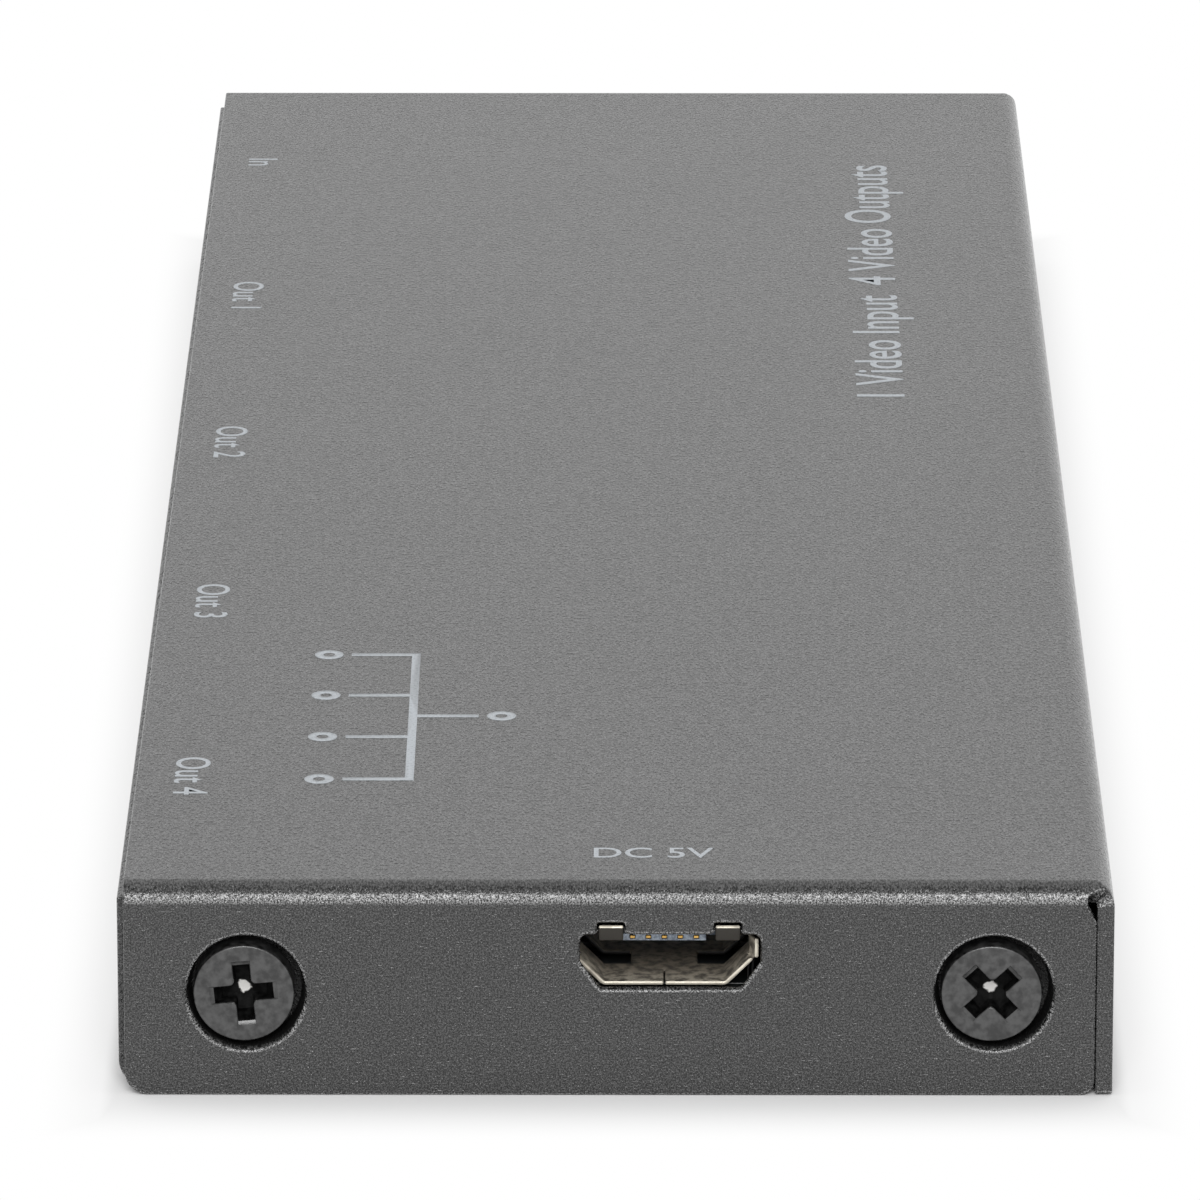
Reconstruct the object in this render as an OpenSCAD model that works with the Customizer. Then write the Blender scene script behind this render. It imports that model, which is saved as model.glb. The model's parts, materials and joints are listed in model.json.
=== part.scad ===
// Slim video splitter: a folded two-piece steel case around one circuit board, with a row of
// five full-size video sockets in one long wall and a small power socket in one end.
// Origin at the middle of the underside. X runs across the case, Y along the row, Z up.

/* [Case] */
// Width of the case, from the socket wall to the plain side
body_w = 40.5; // [38:0.5:48]
// Height of the case
body_h = 9; // [8.6:0.1:12]
// Thickness of the sheet steel
sheet_t = 0.7; // [0.55:0.05:0.8]
// Outer radius of the bends in the cover
cover_bend_r = 0.9; // [0.85:0.05:1.2]
// Outer radius of the bends in the tray
tray_bend_r = 1.2; // [1:0.05:1.6]
// How far the socket wall stands out past the edge of the cover
wall_step = 0.28; // [0.1:0.02:0.4]
// Gap between neighbouring sheets
seam_gap = 0.06; // [0.03:0.01:0.12]
// Radius of the lower corners of the end flanges
flange_corner_r = 0.9; // [0.5:0.1:1.5]
// Height of the relief slit where two bends of the cover meet
relief_h = 0.6; // [0.4:0.05:1.2]
// Width of the relief cuts beside the bends of the tray
relief_w = 0.25; // [0.2:0.05:0.4]
// Height of the lip along the tray's plain side
lip_h = 4; // [3:0.5:6]

/* [Case screws] */
// Thread diameter of the case screws
screw_d = 2.5; // [2:0.1:2.6]
// Diameter of a case screw's head
screw_head_d = 4.1; // [3.8:0.1:4.4]
// Length of a case screw, head included
screw_l = 4.4; // [4:0.1:4.6]
// Diameter of the pressed dimple at the face of the flange
dimple_d = 4.9; // [4.7:0.1:5.4]
// Depth of the dimple's flat floor behind the face of the flange
dimple_sink = 1.5; // [1.3:0.05:1.7]
// Distance between the two screws of one end
screw_span = 30.4; // [27:0.2:31]
// Sideways shift of the pair of screws from the middle of the case
screw_shift = 0.2; // [-0.3:0.1:0.4]
// Height of the case screws above the underside
screw_z = 4.4; // [4:0.1:5]
// Width of each screw ear of the tray
ear_w = 6.6; // [5:0.2:6.8]
// Span of the cross recess in a screw head
recess_span = 2.7; // [2.2:0.1:3]
// Width of one wing of the cross recess
recess_wing = 0.72; // [0.5:0.02:0.8]

/* [Video sockets] */
// Distance between neighbouring sockets
port_pitch = 24; // [22:0.5:28]
// Distance from the inner side of the outermost socket to the end of the case
end_room = 7; // [6.5:0.5:13]
// Inner width of a video socket
video_w = 14; // [13:0.1:14.6]
// Inner height of a video socket
video_h = 4.55; // [4.3:0.05:4.8]
// Sheet thickness of a video socket's shell
video_wall = 0.3; // [0.2:0.05:0.35]
// Depth of a video socket's shell
video_depth = 11.2; // [10.6:0.1:12.5]
// How far a video socket's shell sinks below the top of the board
video_sink = 2.5; // [2.3:0.05:2.7]
// Width of the tongue in a video socket
video_tongue_w = 11.2; // [10.4:0.1:11.8]
// Thickness of the tongue in a video socket
video_tongue_t = 1.2; // [1:0.05:1.35]
// Clearance of the case round a socket
port_gap = 0.25; // [0.15:0.05:0.4]

/* [Power socket] */
// Sideways place of the power socket
power_x = 2; // [-2:0.1:4]
// Inner width of the power socket
power_w = 6.9; // [6.4:0.1:7.4]
// Inner height of the power socket
power_h = 1.85; // [1.7:0.05:2]
// Sheet thickness of the power socket's shell
power_wall = 0.18; // [0.14:0.02:0.24]
// Depth of the power socket behind the end of the case
power_depth = 7.4; // [7:0.1:8.2]
// Width of each flared lip above the mouth of the power socket
power_lip_w = 1; // [0.8:0.05:1.2]
// Rise of the flared lips
power_lip_rise = 0.7; // [0.5:0.02:0.8]
// Depth over which the lips rise
power_lip_run = 0.45; // [0.35:0.05:0.6]
// Width of the tongue in the power socket
power_tongue_w = 3.4; // [3.2:0.05:3.6]
// Distance between neighbouring power contacts
power_pitch = 0.65; // [0.6:0.01:0.7]

/* [Board] */
// Thickness of the circuit board
board_t = 1.2; // [1:0.1:1.4]
// Height of the standoffs under the board
standoff_h = 2.5; // [2.3:0.05:2.8]
// Diameter of the standoffs
standoff_d = 4; // [3.6:0.1:4.6]
// Thread diameter of the board screws
board_screw_d = 2; // [1.6:0.1:2.2]
// Side of the square splitter chip
chip_w = 12; // [9:0.5:14]
// Height of the splitter chip
chip_h = 1; // [0.8:0.05:1.4]

/* [Status lights] */
// Diameter of the clear lenses in the socket wall
lens_d = 1.5; // [1.2:0.1:1.8]

/* [Hidden] */
// Sockets in the order of the row, from the far end to the power end
port_names = ["in", "out_1", "out_2", "out_3", "out_4"];

// Segments of a full circle, steps in a computed fillet, and how far a cut runs past a face
curve_fn = 48;
fillet_steps = 4;
cut = 1;

// Colours
paint_grey = [0.36, 0.36, 0.37];
tin_grey = [0.72, 0.72, 0.72];
screw_black = [0.16, 0.16, 0.17];
board_black = [0.05, 0.06, 0.06];
resin_black = [0.09, 0.09, 0.1];
resin_grey = [0.36, 0.4, 0.44];
ceramic_tan = [0.62, 0.5, 0.36];
contact_gold = [0.86, 0.66, 0.28];
pad_blue = [0.55, 0.62, 0.7];
lens_clear = [0.85, 0.9, 0.92];

// Row of sockets and the case around it
port_count = len(port_names);
end_margin = video_w / 2 + end_room;
body_l = (port_count - 1) * port_pitch + 2 * end_margin;
function port_y(i) = ((port_count - 1) / 2 - i) * port_pitch;

// Faces of the case
wall_x = -body_w / 2;
side_x = body_w / 2;
end_y = -body_l / 2;
ceiling_z = body_h - sheet_t;
cover_left = wall_x + wall_step;
flange_right = side_x - sheet_t - seam_gap;
corner_gap = 0.15;
end_bend_right = side_x - cover_bend_r - corner_gap;
tray_end_y = end_y + sheet_t + seam_gap;

// Screw seats: a deep, steep dimple in the cover, whose floor rests on an ear of the tray and
// carries the head of the screw
hole_gap = 0.15;
thread_gap = 0.02;
dimple_r = dimple_d / 2;
dimple_draft = 0.14;
dimple_wall = 0.45;
dimple_rim = 0.1;
dimple_floor_t = 0.5;
dimple_floor_r = dimple_r - dimple_draft;
dimple_back_r = dimple_r + dimple_wall;
dimple_hole_r = screw_d / 2 + hole_gap;
dimple_depth = dimple_sink + dimple_floor_t;
head_top = 0.1;
screw_tip = 0.4;
recess_depth = 1.15;
recess_core = 1.15;
ear_y = end_y + dimple_depth;
ear_drop = 0.6;
ear_root = 0.5;
ear_top = ceiling_z - ear_drop;
boss_wall = 0.55;
boss_l = 1.2;
end_screw_x = [screw_shift - screw_span / 2, screw_shift + screw_span / 2];
// Turn of each cross recess, anticlockwise from the power end, first the pair at that end
recess_turns = [[5.5, 43], [71, 20]];

// Collar of a status lens behind the socket wall
lens_collar_edge = 0.4;
lens_collar_d = lens_d + 2 * lens_collar_edge;
lens_collar_t = 0.5;
lens_gap = 0.03;

// Board and the posts that carry it
board_z = sheet_t + standoff_h;
board_top = board_z + board_t;
board_gap = 0.5;
board_left = wall_x + sheet_t + lens_collar_t + board_gap / 5;
board_right = flange_right - sheet_t - board_gap;
board_end = tray_end_y + board_gap;
notch_gap = 0.25;
ear_gap = 0.8;
tip_room = 0.4;
ear_notch_depth = head_top + screw_l + tip_room;
lip_l = body_l - 2 * ear_notch_depth;
board_hole_gap = 0.1;
post_shoulder = 0.45;
post_shank_d = standoff_d - 2 * post_shoulder;
board_head_d = 3.6;
board_head_h = 1.1;
board_head_slot = 0.66;
board_screw_reach = 1.8;
post_from_wall = 7.25;
post_from_side = 5.25;
post_places = [
    for (x = [wall_x + post_from_wall, side_x - post_from_side], i = [0.5, port_count - 1.5]) [x, port_y(i)]
];

// Video socket: its mouth is flush with the socket wall
video_z = board_top - video_sink + video_wall + video_h / 2;
video_side_drop = 0.62;
video_step_in = 1.4;
video_step_h = 0.42;
video_taper = 0.15;
video_fillet = 0.45;
video_inner_fillet = 0.3;
video_back_x = wall_x + video_depth;
video_block_l = 3.6;
video_block_x = video_back_x - video_block_l;
video_tongue_in = 0.9;
video_tongue_x = wall_x + video_tongue_in;
video_tongue_up = 0.15;
video_tongue_z = video_z + video_tongue_up;
video_nose = 0.3;
resin_gap = 0.03;
contact_w = 0.4;
contact_t = 0.18;
contact_proud = 0.05;
contact_gap = 0.02;
contact_pitch = 1;
upper_contacts = 10;
lower_contacts = 9;
contact_tip_in = 0.35;
contact_drop_out = 0.7;
contact_rise_in = 1.2;
contact_foot_out = 1.5;
contact_tip_x = video_tongue_x + contact_tip_in;
contact_drop_x = video_back_x + contact_drop_out;
contact_rise_x = video_block_x + contact_rise_in;
contact_foot_x = video_back_x + contact_foot_out;
spring_w = 2.2;
spring_l = 4.6;
spring_slit = 0.3;
spring_dip = 0.38;
spring_tip = 1.1;
spring_root_in = 6.6;
spring_root_x = wall_x + spring_root_in;
spring_off = 3.1;
leg_w = 1.6;
leg_reach = 0.5;
leg_out = 0.95;
leg_y = video_w / 2 + video_wall + leg_out;
leg_front_in = 3.2;
leg_back_in = 8.6;
leg_x = [wall_x + leg_front_in, wall_x + leg_back_in];

// Power socket: its tube starts behind the end flange, and its lips reach the flange's face
power_stand = 0.07;
power_z = board_top + power_stand + power_wall + power_h / 2;
power_front_y = end_y + sheet_t + seam_gap;
power_back_y = end_y + power_depth;
power_chamfer = 1;
power_fillet = 0.35;
power_inner_fillet = 0.15;
power_seam = 0.06;
power_seam_l = 1.4;
power_lip_x = [-2.17, 2.57];
power_lip_gap = 0.15;
power_notch_l = 0.9;
flare_out = 0.22;
flare_run = 0.5;
flare_root = 0.2;
latch_x = 1.36;
latch_l = 1.5;
latch_in = 2.2;
latch_y = power_front_y + latch_in;
opening_shift = 0.24;
opening_gap = 0.22;
opening_low = 0.06;
opening_high = 0.38;
opening_foot = [0.8, 1.1];
power_tongue_t = 0.3;
power_tongue_down = 0.24;
power_tongue_in = 1.25;
power_block_l = 1.1;
power_tongue_z = power_z + power_h / 2 - power_tongue_down - power_tongue_t;
power_tongue_y = power_front_y + power_tongue_in;
power_block_y = power_back_y - power_block_l;
power_contacts_n = 5;
power_contact_w = 0.2;
power_contact_t = 0.13;
power_tip_up = 0.11;
power_tip_l = 0.5;
power_contact_z = power_tongue_z - contact_gap;
power_drop_out = 0.5;
power_foot_out = 1.1;
power_drop_y = power_back_y + power_drop_out;
power_foot_y = power_back_y + power_foot_out;
power_tab_w = 1.3;
power_tab_out = 0.7;
power_tab_y = power_back_y - 1.4 * power_tab_w;

// Chips and small parts on the board
surge_size = [1, 2.5, 0.5];
surge_x = contact_foot_x + 0.6 + surge_size[0] / 2;
surge_off = 2;
capacitor_size = [1, 0.5, 0.5];
capacitor_x = surge_x + 1.7;
capacitor_pitch = 1.1;
capacitors_per_port = 8;
chip_x = capacitor_x + 2.8 + chip_w / 2;
control_size = [5, 5, 0.9];
memory_size = [4, 5, 1.5];
crystal_size = [3.2, 2.5, 0.8];
inductor_size = [4, 4, 2];
regulator_size = [1.6, 2.9, 1.1];
bulk_size = [1.6, 3.2, 1.6];
light_size = [1.1, 1.6, 0.8];
lens_z = board_top + light_size[2] / 2;
lens_y = [for (i = [0:port_count - 2]) port_y(i + 0.5)];

// Unit vector from a to b
function toward(a, b) = (b - a) / norm(b - a);

// Anticlockwise outline moved outwards by g, with mitred corners
function grown(points, g) = [
    for (i = [0:len(points) - 1])
        let (
            n = len(points),
            u = toward(points[(i + n - 1) % n], points[i]),
            v = toward(points[i], points[(i + 1) % n]),
            a = [u[1], -u[0]],
            b = [v[1], -v[0]]
        )
        points[i] + g * (a + b) / (1 + a * b)
];

// Outline with every corner rounded to radius r
function filleted(points, r) = [
    for (i = [0:len(points) - 1])
        let (
            n = len(points),
            u = toward(points[i], points[(i + n - 1) % n]),
            v = toward(points[i], points[(i + 1) % n]),
            half = acos(u * v) / 2,
            centre = points[i] + toward([0, 0], u + v) * r / sin(half),
            from = points[i] + u * r / tan(half) - centre,
            to = points[i] + v * r / tan(half) - centre,
            start = atan2(from[1], from[0]),
            swing = (atan2(to[1], to[0]) - start + 540) % 360 - 180
        )
        for (k = [0:fillet_steps])
            let (turn = start + swing * k / fillet_steps)
            centre + r * [cos(turn), sin(turn)]
];

// Inner outline of a video socket: wide above, stepped in below
video_outline = let (
    a = video_w / 2,
    b = a - video_step_in,
    top = video_h / 2
) [
    [a, top], [-a, top], [-a, -video_side_drop], [-b, video_step_h - top],
    [video_taper - b, -top], [b - video_taper, -top], [b, video_step_h - top], [a, -video_side_drop]
];

// Outline of the power socket's kind: wide above, with its lower corners cut by foot
function power_profile(a, low, high, foot) = [
    [a, high], [-a, high], [-a, low + foot[1]],
    [foot[0] - a, low], [a - foot[0], low], [a, low + foot[1]]
];
power_outline = power_profile(power_w / 2, -power_h / 2, power_h / 2, [power_chamfer, power_chamfer]);

// Extrudes a section drawn in Y and Z from x0 to x1
module from_x(x0, x1) {
    translate([x0, 0, 0]) rotate([90, 0, 90]) linear_extrude(x1 - x0) children();
}

// Extrudes a section drawn in X and Z from y0 to y1
module from_y(y0, y1) {
    translate([0, y1, 0]) rotate([90, 0, 0]) linear_extrude(y1 - y0) children();
}

// Box between two opposite corners
module block(low, high) {
    translate(low) cube(high - low);
}

// Repeats its child at both ends of the case
module both_ends() {
    children();
    mirror([0, 1, 0]) children();
}

// Repeats its child on both sides of the middle
module both_sides() {
    children();
    mirror([1, 0, 0]) children();
}

// Quarter ring of a bend about its own centre, towards +X and +Y
module bend_section(r) {
    intersection() {
        difference() {
            circle(r, $fn = curve_fn);
            circle(r - sheet_t, $fn = curve_fn);
        }
        square(r);
    }
}

// What a corner rounded to radius r leaves out of a square corner at the origin
module corner_waste(r) {
    difference() {
        square(r);
        translate([r, r]) circle(r, $fn = curve_fn);
    }
}

// Puts its child on the axis of a screw at the power end, with depth into the case along Z
module on_end_screw(x) {
    translate([x, end_y, screw_z]) rotate([-90, 0, 0]) children();
}

// Pressed dimple that sinks a screw head below the face of the flange
module screw_dimple() {
    rotate_extrude($fn = curve_fn) polygon([
        [dimple_r + dimple_rim, 0],
        [dimple_r, dimple_rim],
        [dimple_floor_r, dimple_sink],
        [dimple_hole_r, dimple_sink],
        [dimple_hole_r, dimple_depth],
        [dimple_back_r - dimple_draft, dimple_depth],
        [dimple_back_r, sheet_t],
        [dimple_back_r + dimple_wall, sheet_t],
        [dimple_back_r + dimple_wall, 0]
    ]);
}

// End flange with rounded feet and a relief slit at its upper corner
module flange_section() {
    relief_z = body_h - cover_bend_r - relief_h;
    difference() {
        translate([cover_left, 0]) square([flange_right - cover_left, body_h - cover_bend_r]);
        translate([cover_left, 0]) corner_waste(flange_corner_r);
        translate([flange_right, 0]) mirror([1, 0]) corner_waste(flange_corner_r / 2);
        translate([end_bend_right, relief_z]) square([cover_bend_r, relief_h + cut]);
        translate([flange_right, relief_z]) circle(flange_right - end_bend_right, $fn = curve_fn);
    }
}

// Opening for the power socket, with a notch round each of its flared lips
module power_opening_section() {
    translate([power_x, power_z]) {
        translate([opening_shift, 0]) polygon(power_profile(
            power_w / 2 + opening_gap, -power_h / 2 - opening_low, power_h / 2 + opening_high, opening_foot
        ));
        for (x = power_lip_x)
            translate([x - power_lip_w / 2 - power_lip_gap / 2, 0])
                square([power_lip_w + power_lip_gap, power_h / 2 + power_lip_top + power_lip_gap]);
    }
}

module end_flange(opened) {
    difference() {
        from_y(end_y, end_y + sheet_t) difference() {
            flange_section();
            if (opened) power_opening_section();
        }
        for (x = end_screw_x) on_end_screw(x) translate([0, 0, -cut])
            cylinder(r = dimple_back_r, h = sheet_t + 2 * cut, $fn = curve_fn);
    }
    for (x = end_screw_x) on_end_screw(x) screw_dimple();
    from_x(cover_left, end_bend_right) translate([end_y + cover_bend_r, body_h - cover_bend_r])
        mirror([1, 0]) bend_section(cover_bend_r);
}

module top_cover() {
    color(paint_grey) {
        block([cover_left, end_y + cover_bend_r, ceiling_z],
            [side_x - cover_bend_r, -end_y - cover_bend_r, body_h]);
        from_y(end_y, -end_y) translate([side_x - cover_bend_r, body_h - cover_bend_r])
            bend_section(cover_bend_r);
        block([side_x - sheet_t, end_y, 0], [side_x, -end_y, body_h - cover_bend_r]);
        end_flange(true);
        mirror([0, 1, 0]) end_flange(false);
    }
}

// Ear that a case screw pulls against, bent up from the floor, with a tapped collar behind it
module screw_ear(x) {
    difference() {
        union() {
            from_x(x - ear_w / 2, x + ear_w / 2) {
                translate([ear_y + tray_bend_r, tray_bend_r]) rotate(180) bend_section(tray_bend_r);
                translate([ear_y + tray_bend_r, 0]) square([ear_root, sheet_t]);
                translate([ear_y, tray_bend_r]) square([sheet_t, ear_top - tray_bend_r]);
            }
            on_end_screw(x) translate([0, 0, dimple_depth])
                cylinder(r = screw_d / 2 + boss_wall, h = sheet_t + boss_l, $fn = curve_fn);
        }
        on_end_screw(x) cylinder(r = screw_d / 2 + thread_gap, h = screw_l + cut, $fn = curve_fn);
    }
}

// Floor of the tray, cut back at its ends for the ears
module tray_floor() {
    lip_edge = flange_right - tray_bend_r;
    difference() {
        union() {
            block([wall_x + tray_bend_r, tray_end_y, 0], [lip_edge, -tray_end_y, sheet_t]);
            both_ends() block([lip_edge, tray_end_y, 0], [flange_right, -lip_l / 2 - relief_w, sheet_t]);
        }
        both_ends() for (x = end_screw_x)
            block([x - ear_w / 2 - relief_w, end_y, -cut],
                [x + ear_w / 2 + relief_w, ear_y + tray_bend_r, sheet_t + cut]);
        for (p = post_places) translate([p[0], p[1], -cut])
            cylinder(d = post_shank_d, h = sheet_t + 2 * cut, $fn = curve_fn);
    }
}

// Wall that the video sockets open through
module socket_wall() {
    difference() {
        union() {
            from_y(tray_end_y, -tray_end_y) translate([wall_x + tray_bend_r, tray_bend_r])
                rotate(180) bend_section(tray_bend_r);
            block([wall_x, tray_end_y, tray_bend_r], [wall_x + sheet_t, -tray_end_y, ceiling_z - seam_gap]);
        }
        from_x(wall_x - cut, wall_x + sheet_t + cut) {
            for (i = [0:port_count - 1]) translate([port_y(i), video_z])
                polygon(filleted(grown(video_outline, video_wall + port_gap), video_fillet));
            for (y = lens_y) translate([y, lens_z]) circle(d = lens_d + 2 * lens_gap, $fn = curve_fn);
        }
    }
}

// Lip that stiffens the tray along the plain side of the cover
module tray_lip() {
    from_y(-lip_l / 2, lip_l / 2) {
        translate([flange_right - tray_bend_r, tray_bend_r]) mirror([0, 1]) bend_section(tray_bend_r);
        translate([flange_right - sheet_t, tray_bend_r]) square([sheet_t, lip_h - tray_bend_r]);
    }
}

module bottom_tray() {
    color(paint_grey) {
        tray_floor();
        socket_wall();
        tray_lip();
        both_ends() for (x = end_screw_x) screw_ear(x);
    }
}

// Cross recess bounded by a cone, so that its wings grow shallow outwards
module cross_recess() {
    intersection() {
        for (turn = [0, 90]) rotate(turn)
            translate([-recess_span / 2, -recess_wing / 2, -cut])
                cube([recess_span, recess_wing, recess_depth + cut]);
        translate([0, 0, -recess_depth])
            cylinder(r1 = recess_span, r2 = recess_wing / 2, h = 2 * recess_depth, $fn = curve_fn);
    }
    rotate(45) translate([-recess_core / 2, -recess_core / 2, -cut])
        cube([recess_core, recess_core, recess_depth / 2 + cut]);
}

// Cheese-head screw with its head on the floor of the dimple and depth along Z
module case_screw(turn) {
    r = screw_d / 2;
    head_r = screw_head_d / 2;
    difference() {
        rotate_extrude($fn = curve_fn) polygon([
            [0, head_top], [head_r, head_top], [head_r, dimple_sink],
            [r, dimple_sink], [r, head_top + screw_l - screw_tip],
            [r - screw_tip, head_top + screw_l], [0, head_top + screw_l]
        ]);
        translate([0, 0, head_top]) rotate(-turn) cross_recess();
    }
}

module case_screws() {
    color(screw_black) for (i = [0, 1]) {
        on_end_screw(end_screw_x[i]) case_screw(recess_turns[0][i]);
        mirror([0, 1, 0]) on_end_screw(end_screw_x[i]) case_screw(recess_turns[1][i]);
    }
}

// Circuit board, notched for the sunk sockets and for the ears at its corners
module main_board() {
    half_notch = video_w / 2 + video_wall + notch_gap;
    leg_hole = [leg_w + 2 * board_hole_gap, video_wall + 2 * board_hole_gap, board_t + 2 * cut];
    color(board_black) difference() {
        block([board_left, board_end, board_z], [board_right, -board_end, board_top]);
        for (i = [0:port_count - 1]) translate([0, port_y(i), 0]) {
            block([board_left - cut, -half_notch, board_z - cut],
                [video_back_x + notch_gap, half_notch, board_top + cut]);
            for (s = [-1, 1], x = leg_x)
                translate([x, s * leg_y, board_z + board_t / 2]) cube(leg_hole, center = true);
        }
        both_ends() {
            block([board_left - cut, end_y, board_z - cut],
                [end_screw_x[0] + ear_w / 2 + ear_gap, end_y + ear_notch_depth, board_top + cut]);
            block([end_screw_x[1] - ear_w / 2 - ear_gap, end_y, board_z - cut],
                [board_right + cut, end_y + ear_notch_depth, board_top + cut]);
        }
        for (p = post_places) translate([p[0], p[1], board_z - cut])
            cylinder(r = board_screw_d / 2 + board_hole_gap, h = board_t + 2 * cut, $fn = curve_fn);
    }
}

// Press-in posts whose shanks fill the holes in the floor of the tray
module board_standoffs() {
    color(tin_grey) for (p = post_places) translate([p[0], p[1], 0]) difference() {
        union() {
            cylinder(d = post_shank_d, h = sheet_t, $fn = curve_fn);
            translate([0, 0, sheet_t]) cylinder(d = standoff_d, h = standoff_h, $fn = curve_fn);
        }
        translate([0, 0, sheet_t])
            cylinder(r = board_screw_d / 2 + thread_gap, h = standoff_h + cut, $fn = curve_fn);
    }
}

// Pan-head screw through the board into a post
module board_screw() {
    difference() {
        union() {
            translate([0, 0, board_top]) cylinder(d = board_head_d, h = board_head_h, $fn = curve_fn);
            translate([0, 0, board_z - board_screw_reach])
                cylinder(d = board_screw_d, h = board_t + board_screw_reach, $fn = curve_fn);
        }
        for (turn = [0, 90]) rotate(turn)
            translate([-board_screw_d / 2, -board_screw_d / 8, board_top + board_head_h - board_head_slot])
                cube([board_screw_d, board_screw_d / 4, board_head_h]);
    }
}

module board_screws() {
    color(tin_grey) for (p = post_places) translate([p[0], p[1], 0]) board_screw();
}

// Puts its child at each contact spring of a socket, with Z out of the shell from its inner face
module on_each_spring() {
    for (s = [-1, 1]) translate([spring_root_x, s * spring_off, video_z]) {
        translate([0, 0, video_h / 2]) children();
        mirror([0, 0, 1]) translate([0, 0, video_h / 2]) children();
    }
}

// Spring that dips into the socket and comes back to the wall at its free end
module spring_section() {
    polygon([
        [0, 0], [0, video_wall], [spring_tip - spring_l, video_wall - spring_dip],
        [-spring_l, video_wall], [-spring_l, 0], [spring_tip - spring_l, -spring_dip]
    ]);
}

// Solder leg: a tab out of the shell's side, bent down through the board
module solder_leg() {
    inner = video_w / 2 + video_wall / 2;
    outer = leg_y + video_wall / 2;
    block([-leg_w / 2, inner, board_top], [leg_w / 2, outer, board_top + video_wall]);
    block([-leg_w / 2, outer - video_wall, board_z - leg_reach], [leg_w / 2, outer, board_top + video_wall]);
}

// Folded shell of a video socket with its springs and solder legs
module video_shell(i) {
    color(tin_grey) translate([0, port_y(i), 0]) {
        difference() {
            from_x(wall_x, video_back_x) translate([0, video_z]) difference() {
                polygon(filleted(grown(video_outline, video_wall), video_fillet));
                polygon(filleted(video_outline, video_inner_fillet));
            }
            on_each_spring() block([-spring_l - spring_slit, -spring_w / 2 - spring_slit, -cut],
                [0, spring_w / 2 + spring_slit, video_wall + cut]);
        }
        on_each_spring() from_y(-spring_w / 2, spring_w / 2) spring_section();
        both_legs() for (x = leg_x) translate([x, 0, 0]) solder_leg();
    }
}

// Repeats a socket's leg on its other side
module both_legs() {
    children();
    mirror([0, 1, 0]) children();
}

// Path of an upper contact, grown by g: along the tongue, down behind the block, onto the board
module upper_contact_section(g) {
    low = video_tongue_z + video_tongue_t / 2 + contact_proud - contact_t;
    translate([contact_tip_x - g, low - g])
        square([contact_drop_x - contact_tip_x + 2 * g, contact_t + 2 * g]);
    translate([contact_drop_x - contact_t - g, board_top])
        square([contact_t + 2 * g, low + contact_t - board_top + g]);
    translate([contact_drop_x - contact_t - g, board_top])
        square([contact_foot_x - contact_drop_x + contact_t + g, contact_t + g]);
}

// Path of a lower contact, grown by g: under the tongue, up inside the block, out onto the board
module lower_contact_section(g) {
    low = video_tongue_z - video_tongue_t / 2 - contact_proud;
    translate([contact_tip_x - g, low - g])
        square([contact_rise_x - contact_tip_x + 2 * g, contact_t + 2 * g]);
    translate([contact_rise_x - contact_t - g, low - g])
        square([contact_t + 2 * g, board_top + contact_t - low + 2 * g]);
    translate([contact_rise_x - contact_t - g, board_top - g])
        square([contact_foot_x - contact_rise_x + contact_t + g, contact_t + 2 * g]);
}

// Puts its child at each of n places along Y
module along_row(n) {
    for (k = [0:n - 1]) translate([0, (k - (n - 1) / 2) * contact_pitch, 0]) children();
}

// Both rows of contacts of a video socket, grown by g
module contact_rows(g) {
    along_row(upper_contacts) from_y(-contact_w / 2 - g, contact_w / 2 + g) upper_contact_section(g);
    along_row(lower_contacts) from_y(-contact_w / 2 - g, contact_w / 2 + g) lower_contact_section(g);
}

module video_contacts(i) {
    color(contact_gold) translate([0, port_y(i), 0]) contact_rows(0);
}

// Resin block at the back of a video socket, with the tongue that carries the contacts
module video_tongue(i) {
    half = video_tongue_t / 2;
    color(resin_black) translate([0, port_y(i), 0]) difference() {
        union() {
            from_x(video_block_x, video_back_x) translate([0, video_z])
                polygon(filleted(grown(video_outline, -resin_gap), video_inner_fillet));
            from_y(-video_tongue_w / 2, video_tongue_w / 2) translate([0, video_tongue_z]) polygon([
                [video_block_x + cut, half], [video_tongue_x + video_nose, half],
                [video_tongue_x, half - video_nose], [video_tongue_x, video_nose - half],
                [video_tongue_x + video_nose, -half], [video_block_x + cut, -half]
            ]);
        }
        contact_rows(contact_gap);
    }
}

// Slope of the power socket's flared lips, and how far they rise above the inner top of its tube
power_lip_slope = atan2(power_lip_rise, power_lip_run);
power_lip_top = power_lip_rise + power_wall * cos(power_lip_slope);

// Flared lip above the mouth of the power socket, from the tube's inner top
module power_lip_section() {
    root = power_front_y + power_notch_l + power_wall;
    polygon([
        [root, 0],
        [end_y + power_lip_run, 0],
        [end_y, power_lip_rise],
        [end_y + power_wall * sin(power_lip_slope), power_lip_top],
        [end_y + power_lip_run + power_wall * tan(power_lip_slope / 2), power_wall],
        [root, power_wall]
    ]);
}

// Flared side of the power socket's mouth, in plan
module power_flare_section() {
    half_w = power_w / 2;
    bend_y = power_front_y + flare_run;
    polygon([
        [half_w, bend_y + flare_root],
        [half_w, bend_y],
        [half_w + flare_out, power_front_y],
        [half_w + flare_out + power_wall, power_front_y],
        [half_w + power_wall, bend_y],
        [half_w + power_wall, bend_y + flare_root]
    ]);
}

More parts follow.
